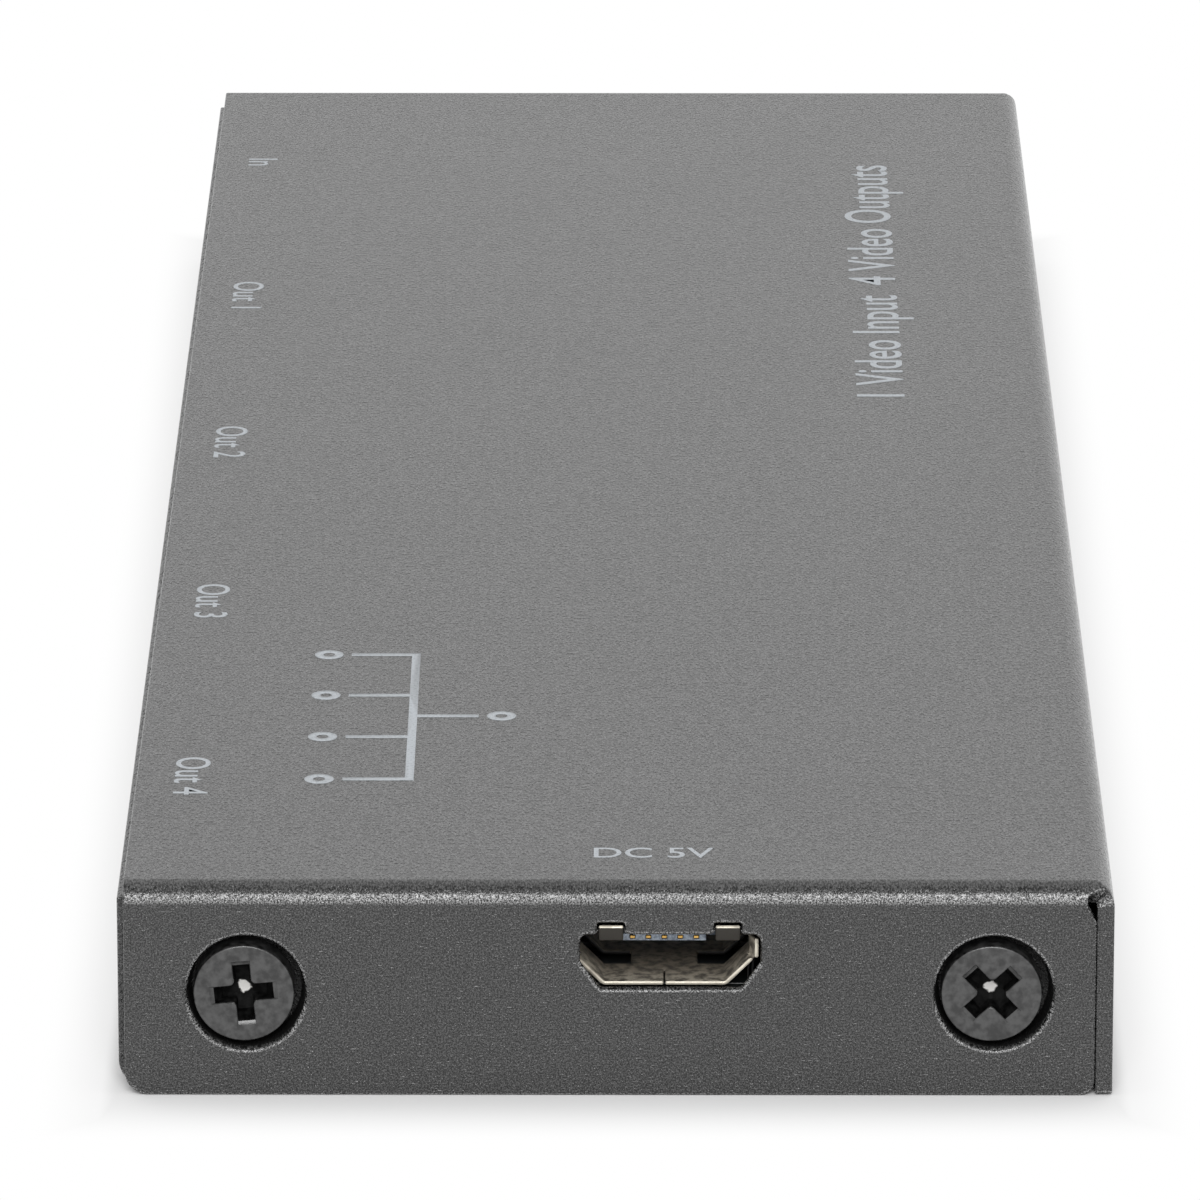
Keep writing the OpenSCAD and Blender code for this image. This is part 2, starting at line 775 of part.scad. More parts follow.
// Folded shell of the power socket, whose edges meet in a seam below
module power_shell() {
    half_w = power_w / 2;
    half_h = power_h / 2;
    flare_low = power_chamfer - half_h;
    top_half_w = half_w - power_fillet;
    color(tin_grey) translate([power_x, 0, power_z]) {
        difference() {
            from_y(power_front_y, power_back_y) difference() {
                polygon(filleted(grown(power_outline, power_wall), power_fillet));
                polygon(filleted(power_outline, power_inner_fillet));
            }
            block([-top_half_w, power_front_y - cut, 0],
                [top_half_w, power_front_y + power_notch_l, half_h + cut]);
            block([-half_w - cut, power_front_y - cut, flare_low],
                [half_w + cut, power_front_y + flare_run, half_h + cut]);
            block([-power_seam / 2, power_front_y - cut, -half_h - cut],
                [power_seam / 2, power_front_y + power_seam_l, 0]);
            both_sides() block([latch_x, latch_y, -half_h - cut],
                [half_w + cut, latch_y + latch_l, power_chamfer - half_h]);
        }
        for (x = power_lip_x) from_x(x - power_lip_w / 2, x + power_lip_w / 2)
            translate([0, half_h]) power_lip_section();
        both_sides() translate([0, 0, flare_low]) linear_extrude(half_h - flare_low) power_flare_section();
        both_sides() block([half_w - power_chamfer, power_tab_y, -half_h - power_wall - power_stand],
            [half_w + power_wall + power_tab_out, power_tab_y + power_tab_w, -half_h]);
    }
}

// Path of a power contact, grown by g: its tip raised into the tongue's front, then under the
// tongue, down behind the block and onto the board
module power_contact_section(g) {
    step_y = power_tongue_y + power_tip_l - power_contact_t;
    translate([power_tongue_y - g, power_contact_z + power_tip_up - g])
        square([power_tip_l + 2 * g, power_contact_t + 2 * g]);
    translate([step_y - g, power_contact_z - g])
        square([power_contact_t + 2 * g, power_tip_up + power_contact_t + 2 * g]);
    translate([step_y - g, power_contact_z - g])
        square([power_drop_y - step_y + 2 * g, power_contact_t + 2 * g]);
    translate([power_drop_y - power_contact_t - g, board_top])
        square([power_contact_t + 2 * g, power_contact_z + power_contact_t - board_top + g]);
    translate([power_drop_y - power_contact_t - g, board_top])
        square([power_foot_y - power_drop_y + power_contact_t + g, power_contact_t + g]);
}

// Row of power contacts, grown by g
module power_contact_row(g) {
    for (k = [0:power_contacts_n - 1])
        translate([power_x + (k - (power_contacts_n - 1) / 2) * power_pitch, 0, 0])
            from_x(-power_contact_w / 2 - g, power_contact_w / 2 + g) power_contact_section(g);
}

module power_contacts() {
    color(contact_gold) power_contact_row(0);
}

// Resin block at the back of the power socket, with the tongue that carries the contacts
module power_tongue() {
    color(resin_grey) difference() {
        union() {
            from_y(power_block_y, power_back_y) translate([power_x, power_z])
                polygon(filleted(grown(power_outline, -resin_gap), power_inner_fillet));
            block([power_x - power_tongue_w / 2, power_tongue_y, power_tongue_z],
                [power_x + power_tongue_w / 2, power_block_y + resin_gap, power_tongue_z + power_tongue_t]);
        }
        power_contact_row(contact_gap);
    }
}

// Part that stands on the board, centred at x and y
module board_part(x, y, size) {
    translate([x - size[0] / 2, y - size[1] / 2, board_top]) cube(size);
}

// Chip package with a round mark sunk beside its first pin
module marked_chip(x, y, size) {
    mark_r = 0.35;
    mark_depth = 0.1;
    mark_in = 3 * mark_r;
    difference() {
        board_part(x, y, size);
        translate([x - size[0] / 2 + mark_in, y + size[1] / 2 - mark_in, board_top + size[2] - mark_depth])
            cylinder(r = mark_r, h = mark_depth + cut, $fn = curve_fn);
    }
}

module splitter_chip() {
    color(resin_black) marked_chip(chip_x, 0, [chip_w, chip_w, chip_h]);
}

// Soft pad that carries the chip's heat to the cover
module heat_pad() {
    color(pad_blue) block([chip_x - chip_w / 2, -chip_w / 2, board_top + chip_h],
        [chip_x + chip_w / 2, chip_w / 2, ceiling_z]);
}

module control_chip() {
    color(resin_black) marked_chip(chip_x, port_y(3), control_size);
}

module memory_chip() {
    color(resin_black) marked_chip(chip_x, port_y(1), memory_size);
}

module clock_crystal() {
    color(tin_grey) board_part(chip_x, port_y(1.4), crystal_size);
}

// Two step-down supplies side by side near the power socket
module power_inductors() {
    color(resin_black) for (i = [3.4, 3.7]) board_part(chip_x, port_y(i), inductor_size);
}

module voltage_regulators() {
    color(resin_black) for (i = [3.4, 3.7])
        board_part(chip_x + inductor_size[0] / 2 + 1.6, port_y(i), regulator_size);
}

module bulk_capacitors() {
    color(ceramic_tan) for (i = [0.5, 2.5, 3.4, 3.7])
        board_part(chip_x - inductor_size[0] / 2 - 1.6, port_y(i), bulk_size);
}

module coupling_capacitors() {
    color(ceramic_tan) for (i = [0:port_count - 1], k = [0:capacitors_per_port - 1])
        board_part(capacitor_x, port_y(i) + (k - (capacitors_per_port - 1) / 2) * capacitor_pitch,
            capacitor_size);
}

module surge_arrays() {
    color(resin_black) for (i = [0:port_count - 1], s = [-1, 1])
        board_part(surge_x, port_y(i) + s * surge_off, surge_size);
}

// Lights at the edge of the board, behind the lenses
module status_lights() {
    color(ceramic_tan) for (y = lens_y) board_part(board_left + light_size[0] / 2, y, light_size);
}

// Clear pins flush with the socket wall, each with a collar behind it
module status_lenses() {
    color(lens_clear) for (y = lens_y) translate([wall_x, y, lens_z]) rotate([0, 90, 0]) {
        cylinder(d = lens_d, h = sheet_t + lens_collar_t, $fn = curve_fn);
        translate([0, 0, sheet_t]) cylinder(d = lens_collar_d, h = lens_collar_t, $fn = curve_fn);
    }
}

top_cover();
bottom_tray();
case_screws();
main_board();
board_standoffs();
board_screws();
for (i = [0:port_count - 1]) {
    video_shell(i);
    video_tongue(i);
    video_contacts(i);
}
power_shell();
power_tongue();
power_contacts();
splitter_chip();
heat_pad();
control_chip();
memory_chip();
clock_crystal();
power_inductors();
voltage_regulators();
bulk_capacitors();
coupling_capacitors();
surge_arrays();
status_lights();
status_lenses();
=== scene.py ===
"""Looks of the slim video splitter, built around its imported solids.

The folded case and its screws are modelled here as rounded sheet metal in the place of their solids.
Every other solid keeps its shape, with softened edges, and each surface gets its own finish.
Sizes in the classes are millimetres in the part's frame: X across, Y along the row of sockets, Z up.
"""

from __future__ import annotations

import json
import logging
import math
from dataclasses import dataclass
from enum import Enum
from typing import Mapping, Sequence

import bmesh
import bpy
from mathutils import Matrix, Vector

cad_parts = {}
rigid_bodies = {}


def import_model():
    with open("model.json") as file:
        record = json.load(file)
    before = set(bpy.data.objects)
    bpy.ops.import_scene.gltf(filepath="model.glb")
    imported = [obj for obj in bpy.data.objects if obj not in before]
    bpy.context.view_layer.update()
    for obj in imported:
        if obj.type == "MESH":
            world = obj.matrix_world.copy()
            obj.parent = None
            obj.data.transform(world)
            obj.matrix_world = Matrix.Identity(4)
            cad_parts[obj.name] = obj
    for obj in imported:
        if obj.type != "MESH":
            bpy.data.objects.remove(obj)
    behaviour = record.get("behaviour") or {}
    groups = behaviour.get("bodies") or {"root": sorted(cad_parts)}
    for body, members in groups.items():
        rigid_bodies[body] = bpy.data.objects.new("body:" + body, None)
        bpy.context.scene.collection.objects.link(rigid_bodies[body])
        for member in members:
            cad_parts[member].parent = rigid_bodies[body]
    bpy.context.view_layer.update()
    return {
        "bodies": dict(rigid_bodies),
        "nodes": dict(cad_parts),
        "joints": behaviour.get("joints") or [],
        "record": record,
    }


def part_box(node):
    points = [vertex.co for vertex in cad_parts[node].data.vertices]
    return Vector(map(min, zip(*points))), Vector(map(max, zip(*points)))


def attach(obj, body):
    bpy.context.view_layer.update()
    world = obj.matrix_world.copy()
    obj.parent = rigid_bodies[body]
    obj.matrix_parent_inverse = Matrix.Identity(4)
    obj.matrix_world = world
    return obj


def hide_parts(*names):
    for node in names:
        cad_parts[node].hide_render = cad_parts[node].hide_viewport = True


LOG = logging.getLogger("video_splitter")

MM = 0.001
BODY = "root"
WELD = 0.002 * MM
CURVE_STEPS = 64
BEND_STEPS = 12
CORNER_STEPS = 8
HOLE_STEPS = 32
RING_STEPS = 40
EDGE_STEPS = 2
EDGE_ANGLE = 42.0
QUARTER = [math.pi / 2 * k / BEND_STEPS for k in range(BEND_STEPS + 1)]

Point = tuple[float, float]
Corner = tuple[float, float, float]
Loop = list[Point]
Colour = tuple[float, float, float, float]

X_AXIS = Vector((1.0, 0.0, 0.0))
Y_AXIS = Vector((0.0, 1.0, 0.0))
Z_AXIS = Vector((0.0, 0.0, 1.0))


class Slot(Enum):
    """Material slots of the record that the pieces take their finish from."""

    CASE_PAINT = "case_paint"
    SCREW_STEEL = "screw_steel"
    SOCKET_TIN = "socket_tin"
    CONTACT_GOLD = "contact_gold"
    RESIN_BLACK = "resin_black"
    RESIN_GREY = "resin_grey"
    BOARD = "board"
    CERAMIC = "ceramic"
    PAD = "pad"
    LENS = "lens"


class End(Enum):
    """The two short ends of the case, as the way that each one faces along Y."""

    POWER = -1
    FAR = 1


def grey(level: float) -> Colour:
    """Neutral colour of one linear level."""
    return (level, level, level, 1.0)


class Value:
    """A shader output that adds Math nodes when it is used in Python arithmetic."""

    def __init__(self, tree: ShaderTree, socket: bpy.types.NodeSocket) -> None:
        """Wraps an output of a node in the given tree."""
        self.tree = tree
        self.socket = socket

    def _math(self, operation: str, *operands: Operand) -> Value:
        """Adds one Math node on the operands."""
        return self.tree.node("ShaderNodeMath", {"operation": operation}, dict(enumerate(operands)))

    def __add__(self, other: Operand) -> Value:
        """Sum."""
        return self._math("ADD", self, other)

    def __radd__(self, other: Operand) -> Value:
        """Sum, from the right."""
        return self._math("ADD", other, self)

    def __sub__(self, other: Operand) -> Value:
        """Difference."""
        return self._math("SUBTRACT", self, other)

    def __rsub__(self, other: Operand) -> Value:
        """Difference, from the right."""
        return self._math("SUBTRACT", other, self)

    def __mul__(self, other: Operand) -> Value:
        """Product."""
        return self._math("MULTIPLY", self, other)

    def __rmul__(self, other: Operand) -> Value:
        """Product, from the right."""
        return self._math("MULTIPLY", other, self)

    def __truediv__(self, other: Operand) -> Value:
        """Quotient."""
        return self._math("DIVIDE", self, other)

    def __rtruediv__(self, other: Operand) -> Value:
        """Quotient, from the right."""
        return self._math("DIVIDE", other, self)

    def __pow__(self, other: Operand) -> Value:
        """Power."""
        return self._math("POWER", self, other)

    def __abs__(self) -> Value:
        """Absolute value."""
        return self._math("ABSOLUTE", self)

    def larger(self, other: Operand) -> Value:
        """The larger of the two values."""
        return self._math("MAXIMUM", self, other)

    def ramp(self, low: float, high: float) -> Value:
        """Smooth step from 0 at low to 1 at high.

        Args:
            low: value that gives 0; it may lie above high for a falling step.
            high: value that gives 1.

        Returns:
            The stepped value.
        """
        return self.tree.node(
            "ShaderNodeMapRange",
            {"interpolation_type": "SMOOTHSTEP"},
            {"Value": self, "From Min": low, "From Max": high},
        )


Operand = Value | float


class ShaderTree:
    """Node tree of one material or of the world, emptied and ready for its nodes."""

    def __init__(self, owner: bpy.types.Material | bpy.types.World) -> None:
        """Turns nodes on for the owner and clears its tree.

        Args:
            owner: the material or world.
        """
        owner.use_nodes = True
        self.tree = owner.node_tree
        self.tree.nodes.clear()

    def node(
        self,
        kind: str,
        settings: Mapping[str, object] | None = None,
        inputs: Mapping[str | int, object] | None = None,
        out: str | int = 0,
    ) -> Value | None:
        """Adds a node, sets it up and feeds its sockets.

        Args:
            kind: the node's type.
            settings: properties that are set first, such as an operation.
            inputs: values or links by socket name or number.
            out: name or number of the output that is wanted.

        Returns:
            That output, or None from a node that has no outputs.
        """
        made = self.tree.nodes.new(kind)
        for name, setting in (settings or {}).items():
            setattr(made, name, setting)
        for key, value in (inputs or {}).items():
            self.feed(made.inputs[key], value)
        return Value(self, made.outputs[out]) if made.outputs else None

    def feed(self, socket: bpy.types.NodeSocket, value: object) -> None:
        """Links a wrapped output to a socket, or sets the socket's own value.

        Args:
            socket: the input.
            value: a wrapped output, or a constant.
        """
        if isinstance(value, Value):
            self.tree.links.new(value.socket, socket)
        else:
            socket.default_value = value

    def place(self) -> Value:
        """Position in the part's frame, in metres."""
        return self.node("ShaderNodeTexCoord", out="Object")

    def axis(self, vector: Value, name: str) -> Value:
        """One component of a vector."""
        return self.node("ShaderNodeSeparateXYZ", inputs={"Vector": vector}, out=name)

    def stretched(self, vector: Value, factors: tuple[float, float, float]) -> Value:
        """A vector with each component scaled."""
        return self.node("ShaderNodeVectorMath", {"operation": "MULTIPLY"}, {0: vector, 1: factors})

    def noise(self, where: Value, size: float, detail: float = 2.0, roughness: float = 0.5) -> Value:
        """Soft noise whose bumps are about the given size in millimetres."""
        inputs = {"Vector": where, "Scale": 1.0 / (size * MM), "Detail": detail, "Roughness": roughness}
        return self.node("ShaderNodeTexNoise", {"noise_dimensions": "3D"}, inputs)

    def from_axes(self, where: Value, middle: float, reach: float, height: float) -> Value:
        """Distance in millimetres from the nearer of two screw axes along Y.

        Args:
            where: position in the part's frame.
            middle: sideways place halfway between the axes, in millimetres.
            reach: distance of each axis from there.
            height: height of the axes.

        Returns:
            The distance.
        """
        across = abs(self.axis(where, "X") / MM - middle) - reach
        up = self.axis(where, "Z") / MM - height
        return (across * across + up * up) ** 0.5

    def mix(self, mask: Operand, low: Value | Colour, high: Value | Colour) -> Value:
        """Colour that goes from low to high as the mask goes from 0 to 1."""
        return self.node("ShaderNodeMix", {"data_type": "RGBA"}, {0: mask, 6: low, 7: high}, out=2)

    def bump(self, height: Value, depth: float) -> Value:
        """Surface normal of a relief whose height of 1 stands the given depth in millimetres."""
        inputs = {"Height": height, "Distance": depth * MM, "Strength": 1.0}
        return self.node("ShaderNodeBump", inputs=inputs)

    def surface(self, **sockets: object) -> None:
        """Ends the tree in a Principled surface.

        Args:
            sockets: values or links by socket name, with underscores for spaces.
        """
        inputs = {name.replace("_", " "): value for name, value in sockets.items()}
        shader = self.node("ShaderNodeBsdfPrincipled", inputs=inputs)
        self.node("ShaderNodeOutputMaterial", inputs={"Surface": shader})


@dataclass(frozen=True)
class Finish:
    """What every finish has: a name for its material."""

    name: str

    def material(self) -> bpy.types.Material:
        """Makes the material.

        Returns:
            The new material.
        """
        made = bpy.data.materials.new(self.name)
        self.draw(ShaderTree(made))
        return made

    def draw(self, tree: ShaderTree) -> None:
        """Adds the finish's nodes to an empty tree."""
        raise NotImplementedError


@dataclass(frozen=True)
class PowderCoat(Finish):
    """Fine-textured powder coat: a hard dark grey film with a fine grain and small glints."""

    colour: Colour = grey(0.009)
    peak: Colour = grey(0.072)
    # Next two colours: pale on the bends, a painted highlight that partly stands for rubbed paint; near
    # black in the screw seats, painted shade.
    rubbed_and_lit: Colour = grey(0.3)
    painted_seat_shade: Colour = grey(0.003)
    grain: float = 0.065
    grain_run: float = 0.28
    grain_depth: float = 0.022
    grain_levels: Point = (0.38, 0.66)
    speck: float = 0.1
    speck_run: float = 0.4
    speck_depth: float = 0.025
    speck_levels: Point = (0.5, 0.72)
    sheen_rub_starts: Point = (0.06, 0.22)
    sheen_rub_ends: Point = (0.64, 0.46)
    roughness: float = 0.2
    drift_size: float = 9.0
    drift: float = 0.06
    seat_roughness: float = 0.3
    ior: float = 1.56
    seat_middle: float = 0.2
    seat_reach: float = 15.2
    seat_height: float = 4.4
    seat_r: float = 2.55
    seat_edge: float = 0.05
    seat_depths: Point = (0.15, 0.4)
    end_y: float = 62.0

    def draw(self, tree: ShaderTree) -> None:
        """Grain paler on its peaks, a painted highlight on the bends that also stands for rubbed paint,
        and painted shade deep in the screw seats.

        Args:
            tree: empty tree of the finish's material.
        """
        where = tree.place()
        grain = tree.noise(tree.stretched(where, (1.0, self.grain_run, 1.0)), self.grain, 1.0, 0.5)
        spread = tree.stretched(where, (1.0, self.speck_run, 1.0))
        specks = tree.noise(spread, self.speck, 0.0).ramp(*self.speck_levels)
        relief = grain * self.grain_depth + specks * self.speck_depth
        drift = tree.noise(where, self.drift_size, 3.0) - 0.5
        # Painted shade: within each screw seat, deeper than its rim, the paint turns near black.
        away = tree.from_axes(where, self.seat_middle, self.seat_reach, self.seat_height)
        depth = self.end_y - abs(tree.axis(where, "Y") / MM)
        within = away.ramp(self.seat_r + self.seat_edge, self.seat_r - self.seat_edge)
        seat = within * depth.ramp(*self.seat_depths)
        # Painted highlight, partly rubbed paint: faces that lean partway between flat and upright, as on
        # the bends and rolled rims, turn pale on their grain peaks.
        tilt = abs(tree.axis(tree.node("ShaderNodeTexCoord", out="Normal"), "Z"))
        bend = tilt.ramp(*self.sheen_rub_starts) * tilt.ramp(*self.sheen_rub_ends)
        peak = tree.mix(bend, self.peak, self.rubbed_and_lit)
        film = tree.mix(grain.ramp(*self.grain_levels), self.colour, peak)
        tree.surface(
            Base_Color=tree.mix(seat, film, self.painted_seat_shade),
            Roughness=self.roughness + drift * self.drift + seat * self.seat_roughness,
            IOR=self.ior,
            Normal=tree.bump(relief, 1.0),
        )


@dataclass(frozen=True)
class PadPrintInk(Finish):
    """Thin light grey printing ink that lets the grain of the paint through."""

    colour: Colour = (0.4, 0.425, 0.45, 1.0)
    worn: Colour = (0.26, 0.28, 0.3, 1.0)
    worn_levels: Point = (0.45, 0.75)
    grain: float = 0.12
    depth: float = 0.008
    roughness: float = 0.45
    duller: float = 0.15

    def draw(self, tree: ShaderTree) -> None:
        """Ink thinned a little on the peaks of the grain.

        Args:
            tree: empty tree of the finish's material.
        """
        where = tree.place()
        grain = tree.noise(where, self.grain, 2.0, 0.55)
        tree.surface(
            Base_Color=tree.mix(grain.ramp(*self.worn_levels), self.colour, self.worn),
            Roughness=self.roughness + grain * self.duller,
            Normal=tree.bump(grain, self.depth),
        )


@dataclass(frozen=True)
class BlackOxide(Finish):
    """Blackened screw steel, polished bare close to each screw's axis."""

    colour: Colour
    dusty: Colour
    ior: float
    roughness: float
    bare_radius: float
    axis_middle: float = 0.1
    axis_reach: float = 15.2
    axis_height: float = 4.34
    bare: Colour = (0.72, 0.71, 0.69, 1.0)
    bare_edge: float = 0.08
    ragged: float = 0.4
    cloud_size: float = 0.32
    dusty_levels: Point = (0.3, 0.7)
    duller: float = 0.12
    brush: float = 0.12
    brush_run: float = 0.2
    brush_depth: float = 0.006

    def draw(self, tree: ShaderTree) -> None:
        """Satin black with bare metal close to each screw's axis.

        Args:
            tree: empty tree of the finish's material.
        """
        where = tree.place()
        away = tree.from_axes(where, self.axis_middle, self.axis_reach, self.axis_height)
        cloud = tree.noise(where, self.cloud_size, 3.0)
        ragged = away + (cloud - 0.5) * self.ragged
        bare = ragged.ramp(self.bare_radius, self.bare_radius - self.bare_edge)
        brushed = tree.noise(tree.stretched(where, (1.0, self.brush_run, 1.0)), self.brush)
        oxide = tree.mix(cloud.ramp(*self.dusty_levels), self.colour, self.dusty)
        tree.surface(
            Base_Color=tree.mix(bare, oxide, self.bare),
            Metallic=bare,
            Roughness=self.roughness + cloud * self.duller,
            IOR=self.ior,
            Normal=tree.bump(brushed, self.brush_depth),
        )


@dataclass(frozen=True)
class Mottled(Finish):
    """Plain material with soft patches of a second colour over a fine relief."""

    colour: Colour
    patch: Colour
    patch_size: float
    roughness: float
    duller: float
    depth: float
    blend: Point | None = None
    texture: float | None = None
    dull_texture: bool = False
    rolled: float = 1.0
    detail: float = 3.0
    metallic: float = 0.0

    def draw(self, tree: ShaderTree) -> None:
        """Patches in colour, over a relief of their own or of a texture that may be drawn out along Y.

        Args:
            tree: empty tree of the finish's material.
        """
        where = tree.place()
        patches = relief = tree.noise(where, self.patch_size, self.detail)
        if self.texture:
            relief = tree.noise(tree.stretched(where, (1.0, self.rolled, 1.0)), self.texture)
        mask = patches.ramp(*self.blend) if self.blend else patches
        dull = relief if self.dull_texture else patches
        tree.surface(
            Base_Color=tree.mix(mask, self.colour, self.patch),
            Metallic=self.metallic,
            Roughness=self.roughness + dull * self.duller,
            Normal=tree.bump(relief, self.depth),
        )


@dataclass(frozen=True)
class TarnishedShell(Finish):
    """Tarnished socket sheet: dull brown inside, with painted shade in its slots, in its upper part and
    deeper in, and a painted highlight on the edges and lips of its mouth that partly stands for rubbed
    metal.
    """

    front_y: float = -61.24
    lip_y: float = -61.8
    lip_z: float = 6.5
    limit: float = 0.05
    edge_highlight_run: Point = (0.12, 0.06)
    slot_shade_run: Point = (0.2, 0.4)
    lit_rub_run: float = 1.8
    faces: Point = (-0.75, -0.95)
    lip_highlight_faces: Point = (0.1, 0.4)
    # Painted shade on the left of the mouth's edges.
    left_shade_x: Point = (-0.9, -0.55)
    left_shade_share: float = 0.75
    patch_size: float = 0.42
    patch_share: float = 0.35
    patch_levels: Point = (0.35, 0.6)
    stain_levels: Point = (0.36, 0.66)
    grain: float = 0.07
    grain_run: float = 0.3
    grain_depth: float = 0.006
    metallic: float = 0.25
    roughness: float = 0.5
    polish: float = 0.2
    duller: float = 0.16
    # Pale mouth colour: a painted highlight, partly rubbed bare metal.
    mouth_highlight_and_rub: Colour = (0.74, 0.69, 0.58, 1.0)
    # Painted light near the mouth, partly rubbed plating.
    rubbed_and_lit: Colour = (0.42, 0.38, 0.31, 1.0)
    tarnish: Colour = (0.26, 0.225, 0.175, 1.0)
    stain: Colour = (0.09, 0.08, 0.066, 1.0)
    shaded: Colour = (0.04, 0.036, 0.03, 1.0)
    # Painted shade for the slots.
    slot: Colour = grey(0.003)

    def draw(self, tree: ShaderTree) -> None:
        """Stained plating with a painted highlight on the front edges, partly bare metal, and painted
        shade further in.

        Args:
            tree: empty tree of the finish's material.
        """
        where = tree.place()
        along = tree.axis(where, "Y") / MM
        up = tree.axis(where, "Z") / MM
        normal = tree.node("ShaderNodeTexCoord", out="Normal")
        facing = tree.axis(normal, "Y").ramp(*self.faces)
        below_lips = up.ramp(self.lip_z + self.limit, self.lip_z - self.limit)
        # Painted shade: the pale mouth edges fade to a quarter on the left side of the socket.
        unshaded_right = (tree.axis(where, "X") / MM).ramp(*self.left_shade_x)
        left_shade_factor = 1.0 - self.left_shade_share + unshaded_right * self.left_shade_share
        from_front = along - self.front_y
        # Painted highlight, partly rubbed metal: front-facing faces at the very front below the lips,
        # and the upward faces of the lips, turn pale.
        edge = facing * from_front.ramp(*self.edge_highlight_run) * below_lips * left_shade_factor
        above = along.ramp(self.lip_y + self.limit, self.lip_y - self.limit)
        lip = tree.axis(normal, "Z").ramp(*self.lip_highlight_faces) * above
        # Painted shade: front-facing faces deeper than about 0.3 mm behind the mouth, such as the far
        # edges of the slots, turn near black.
        slot = facing * from_front.ramp(*self.slot_shade_run)
        patches = tree.noise(where, self.patch_size, 3.0, 0.6)
        clean = 1.0 - self.patch_share + patches.ramp(*self.patch_levels) * self.patch_share
        # Mask of the pale mouth colour: painted highlight, partly rubbed metal.
        mouth = edge.larger(lip) * clean
        rolled = tree.noise(tree.stretched(where, (1.0, self.grain_run, 1.0)), self.grain)
        # Painted light, partly rubbed plating: the plating is paler within about 1.8 mm of the mouth and
        # darker deeper in the socket.
        worn = from_front.ramp(self.lit_rub_run, 0.0)
        plating = tree.mix(worn, self.tarnish, self.rubbed_and_lit)
        inside = tree.mix(patches.ramp(*self.stain_levels), plating, self.stain)
        inside = tree.mix(below_lips, self.shaded, inside)
        tree.surface(
            Base_Color=tree.mix(mouth, tree.mix(slot, inside, self.slot), self.mouth_highlight_and_rub),
            Metallic=self.metallic - slot * self.metallic,
            Roughness=self.roughness - mouth * self.polish + patches * self.duller,
            Normal=tree.bump(rolled, self.grain_depth),
        )


@dataclass(frozen=True)
class SolderMask(Finish):
    """Black lacquered board with the paler lines of copper tracks under the lacquer."""

    colour: Colour = (0.006, 0.007, 0.007, 1.0)
    track: Colour = (0.016, 0.017, 0.015, 1.0)
    track_pitch: float = 1.1
    track_levels: Point = (0.55, 0.7)
    track_height: float = 0.02
    wave_per_pitch: float = 0.32
    field_size: float = 7.0
    field_levels: Point = (0.42, 0.5)
    roughness: float = 0.28
    duller: float = 0.1
    dull_size: float = 0.8

    def draw(self, tree: ShaderTree) -> None:
        """Tracks that run across the board, broken up by a coarse noise.

        Args:
            tree: empty tree of the finish's material.
        """
        where = tree.place()
        wave = tree.node(
            "ShaderNodeTexWave",
            {"bands_direction": "Y"},
            {"Vector": where, "Scale": self.wave_per_pitch / (self.track_pitch * MM), "Distortion": 0.0},
        )
        there = tree.noise(where, self.field_size, 0.0).ramp(*self.field_levels)
        tracks = wave.ramp(*self.track_levels) * there
        tree.surface(
            Base_Color=tree.mix(tracks, self.colour, self.track),
            Roughness=self.roughness + tree.noise(where, self.dull_size) * self.duller,
            Normal=tree.bump(tracks, self.track_height),
        )


@dataclass(frozen=True)
class ClearLens(Finish):
    """Clear light pin with a milky core that spreads the light behind it."""

    colour: Colour = (0.78, 0.82, 0.84, 1.0)
    milky: Colour = (0.9, 0.92, 0.93, 1.0)
    cloud_size: float = 0.4
    clear: float = 0.5
    ior: float = 1.49
    roughness: float = 0.12
    duller: float = 0.1

    def draw(self, tree: ShaderTree) -> None:
        """Faint clouds in a mostly clear body.

        Args:
            tree: empty tree of the finish's material.
        """
        where = tree.place()
        clouds = tree.noise(where, self.cloud_size, 3.0)
        tree.surface(
            Base_Color=tree.mix(clouds, self.colour, self.milky),
            Roughness=self.roughness + clouds * self.duller,
            Transmission_Weight=self.clear,
            IOR=self.ior,
        )


def arc(centre: Point, radius: float, start: float, end: float, steps: int = CORNER_STEPS) -> Loop:
    """Points along an arc.

    Args:
        centre: middle of the arc.
        radius: its radius.
        start: angle of its first point in degrees, anticlockwise from the first axis.
        end: angle of its last point.
        steps: number of chords.

    Returns:
        The points, both ends included.
    """
    turns = [math.radians(start + (end - start) * k / steps) for k in range(steps + 1)]
    return [(centre[0] + radius * math.cos(a), centre[1] + radius * math.sin(a)) for a in turns]


def circle(centre: Point, radius: float, steps: int = CURVE_STEPS) -> Loop:
    """Closed circle, without a repeated point."""
    return arc(centre, radius, 0.0, 360.0, steps)[:-1]


def rounded(corners: Sequence[Corner], steps: int = CORNER_STEPS) -> Loop:
    """Closed outline with rounded corners.

    Args:
        corners: each corner's two coordinates and its radius, where 0 keeps it sharp.
        steps: number of chords in each rounding.

    Returns:
        The outline's points in the order of the corners.
    """
    made: Loop = []
    for k, (x, y, radius) in enumerate(corners):
        if radius == 0.0:
            made.append((x, y))
            continue
        tip = Vector((x, y))
        back = (Vector(corners[k - 1][:2]) - tip).normalized()
        ahead = (Vector(corners[(k + 1) % len(corners)][:2]) - tip).normalized()
        half = back.angle(ahead) / 2
        centre = tip + (back + ahead).normalized() * (radius / math.sin(half))
        first = tip + back * (radius / math.tan(half)) - centre
        last = tip + ahead * (radius / math.tan(half)) - centre
        start = math.degrees(math.atan2(first.y, first.x))
        swing = (math.degrees(math.atan2(last.y, last.x)) - start + 540.0) % 360.0 - 180.0
        made += arc((centre.x, centre.y), radius, start, start + swing, steps)
    return made


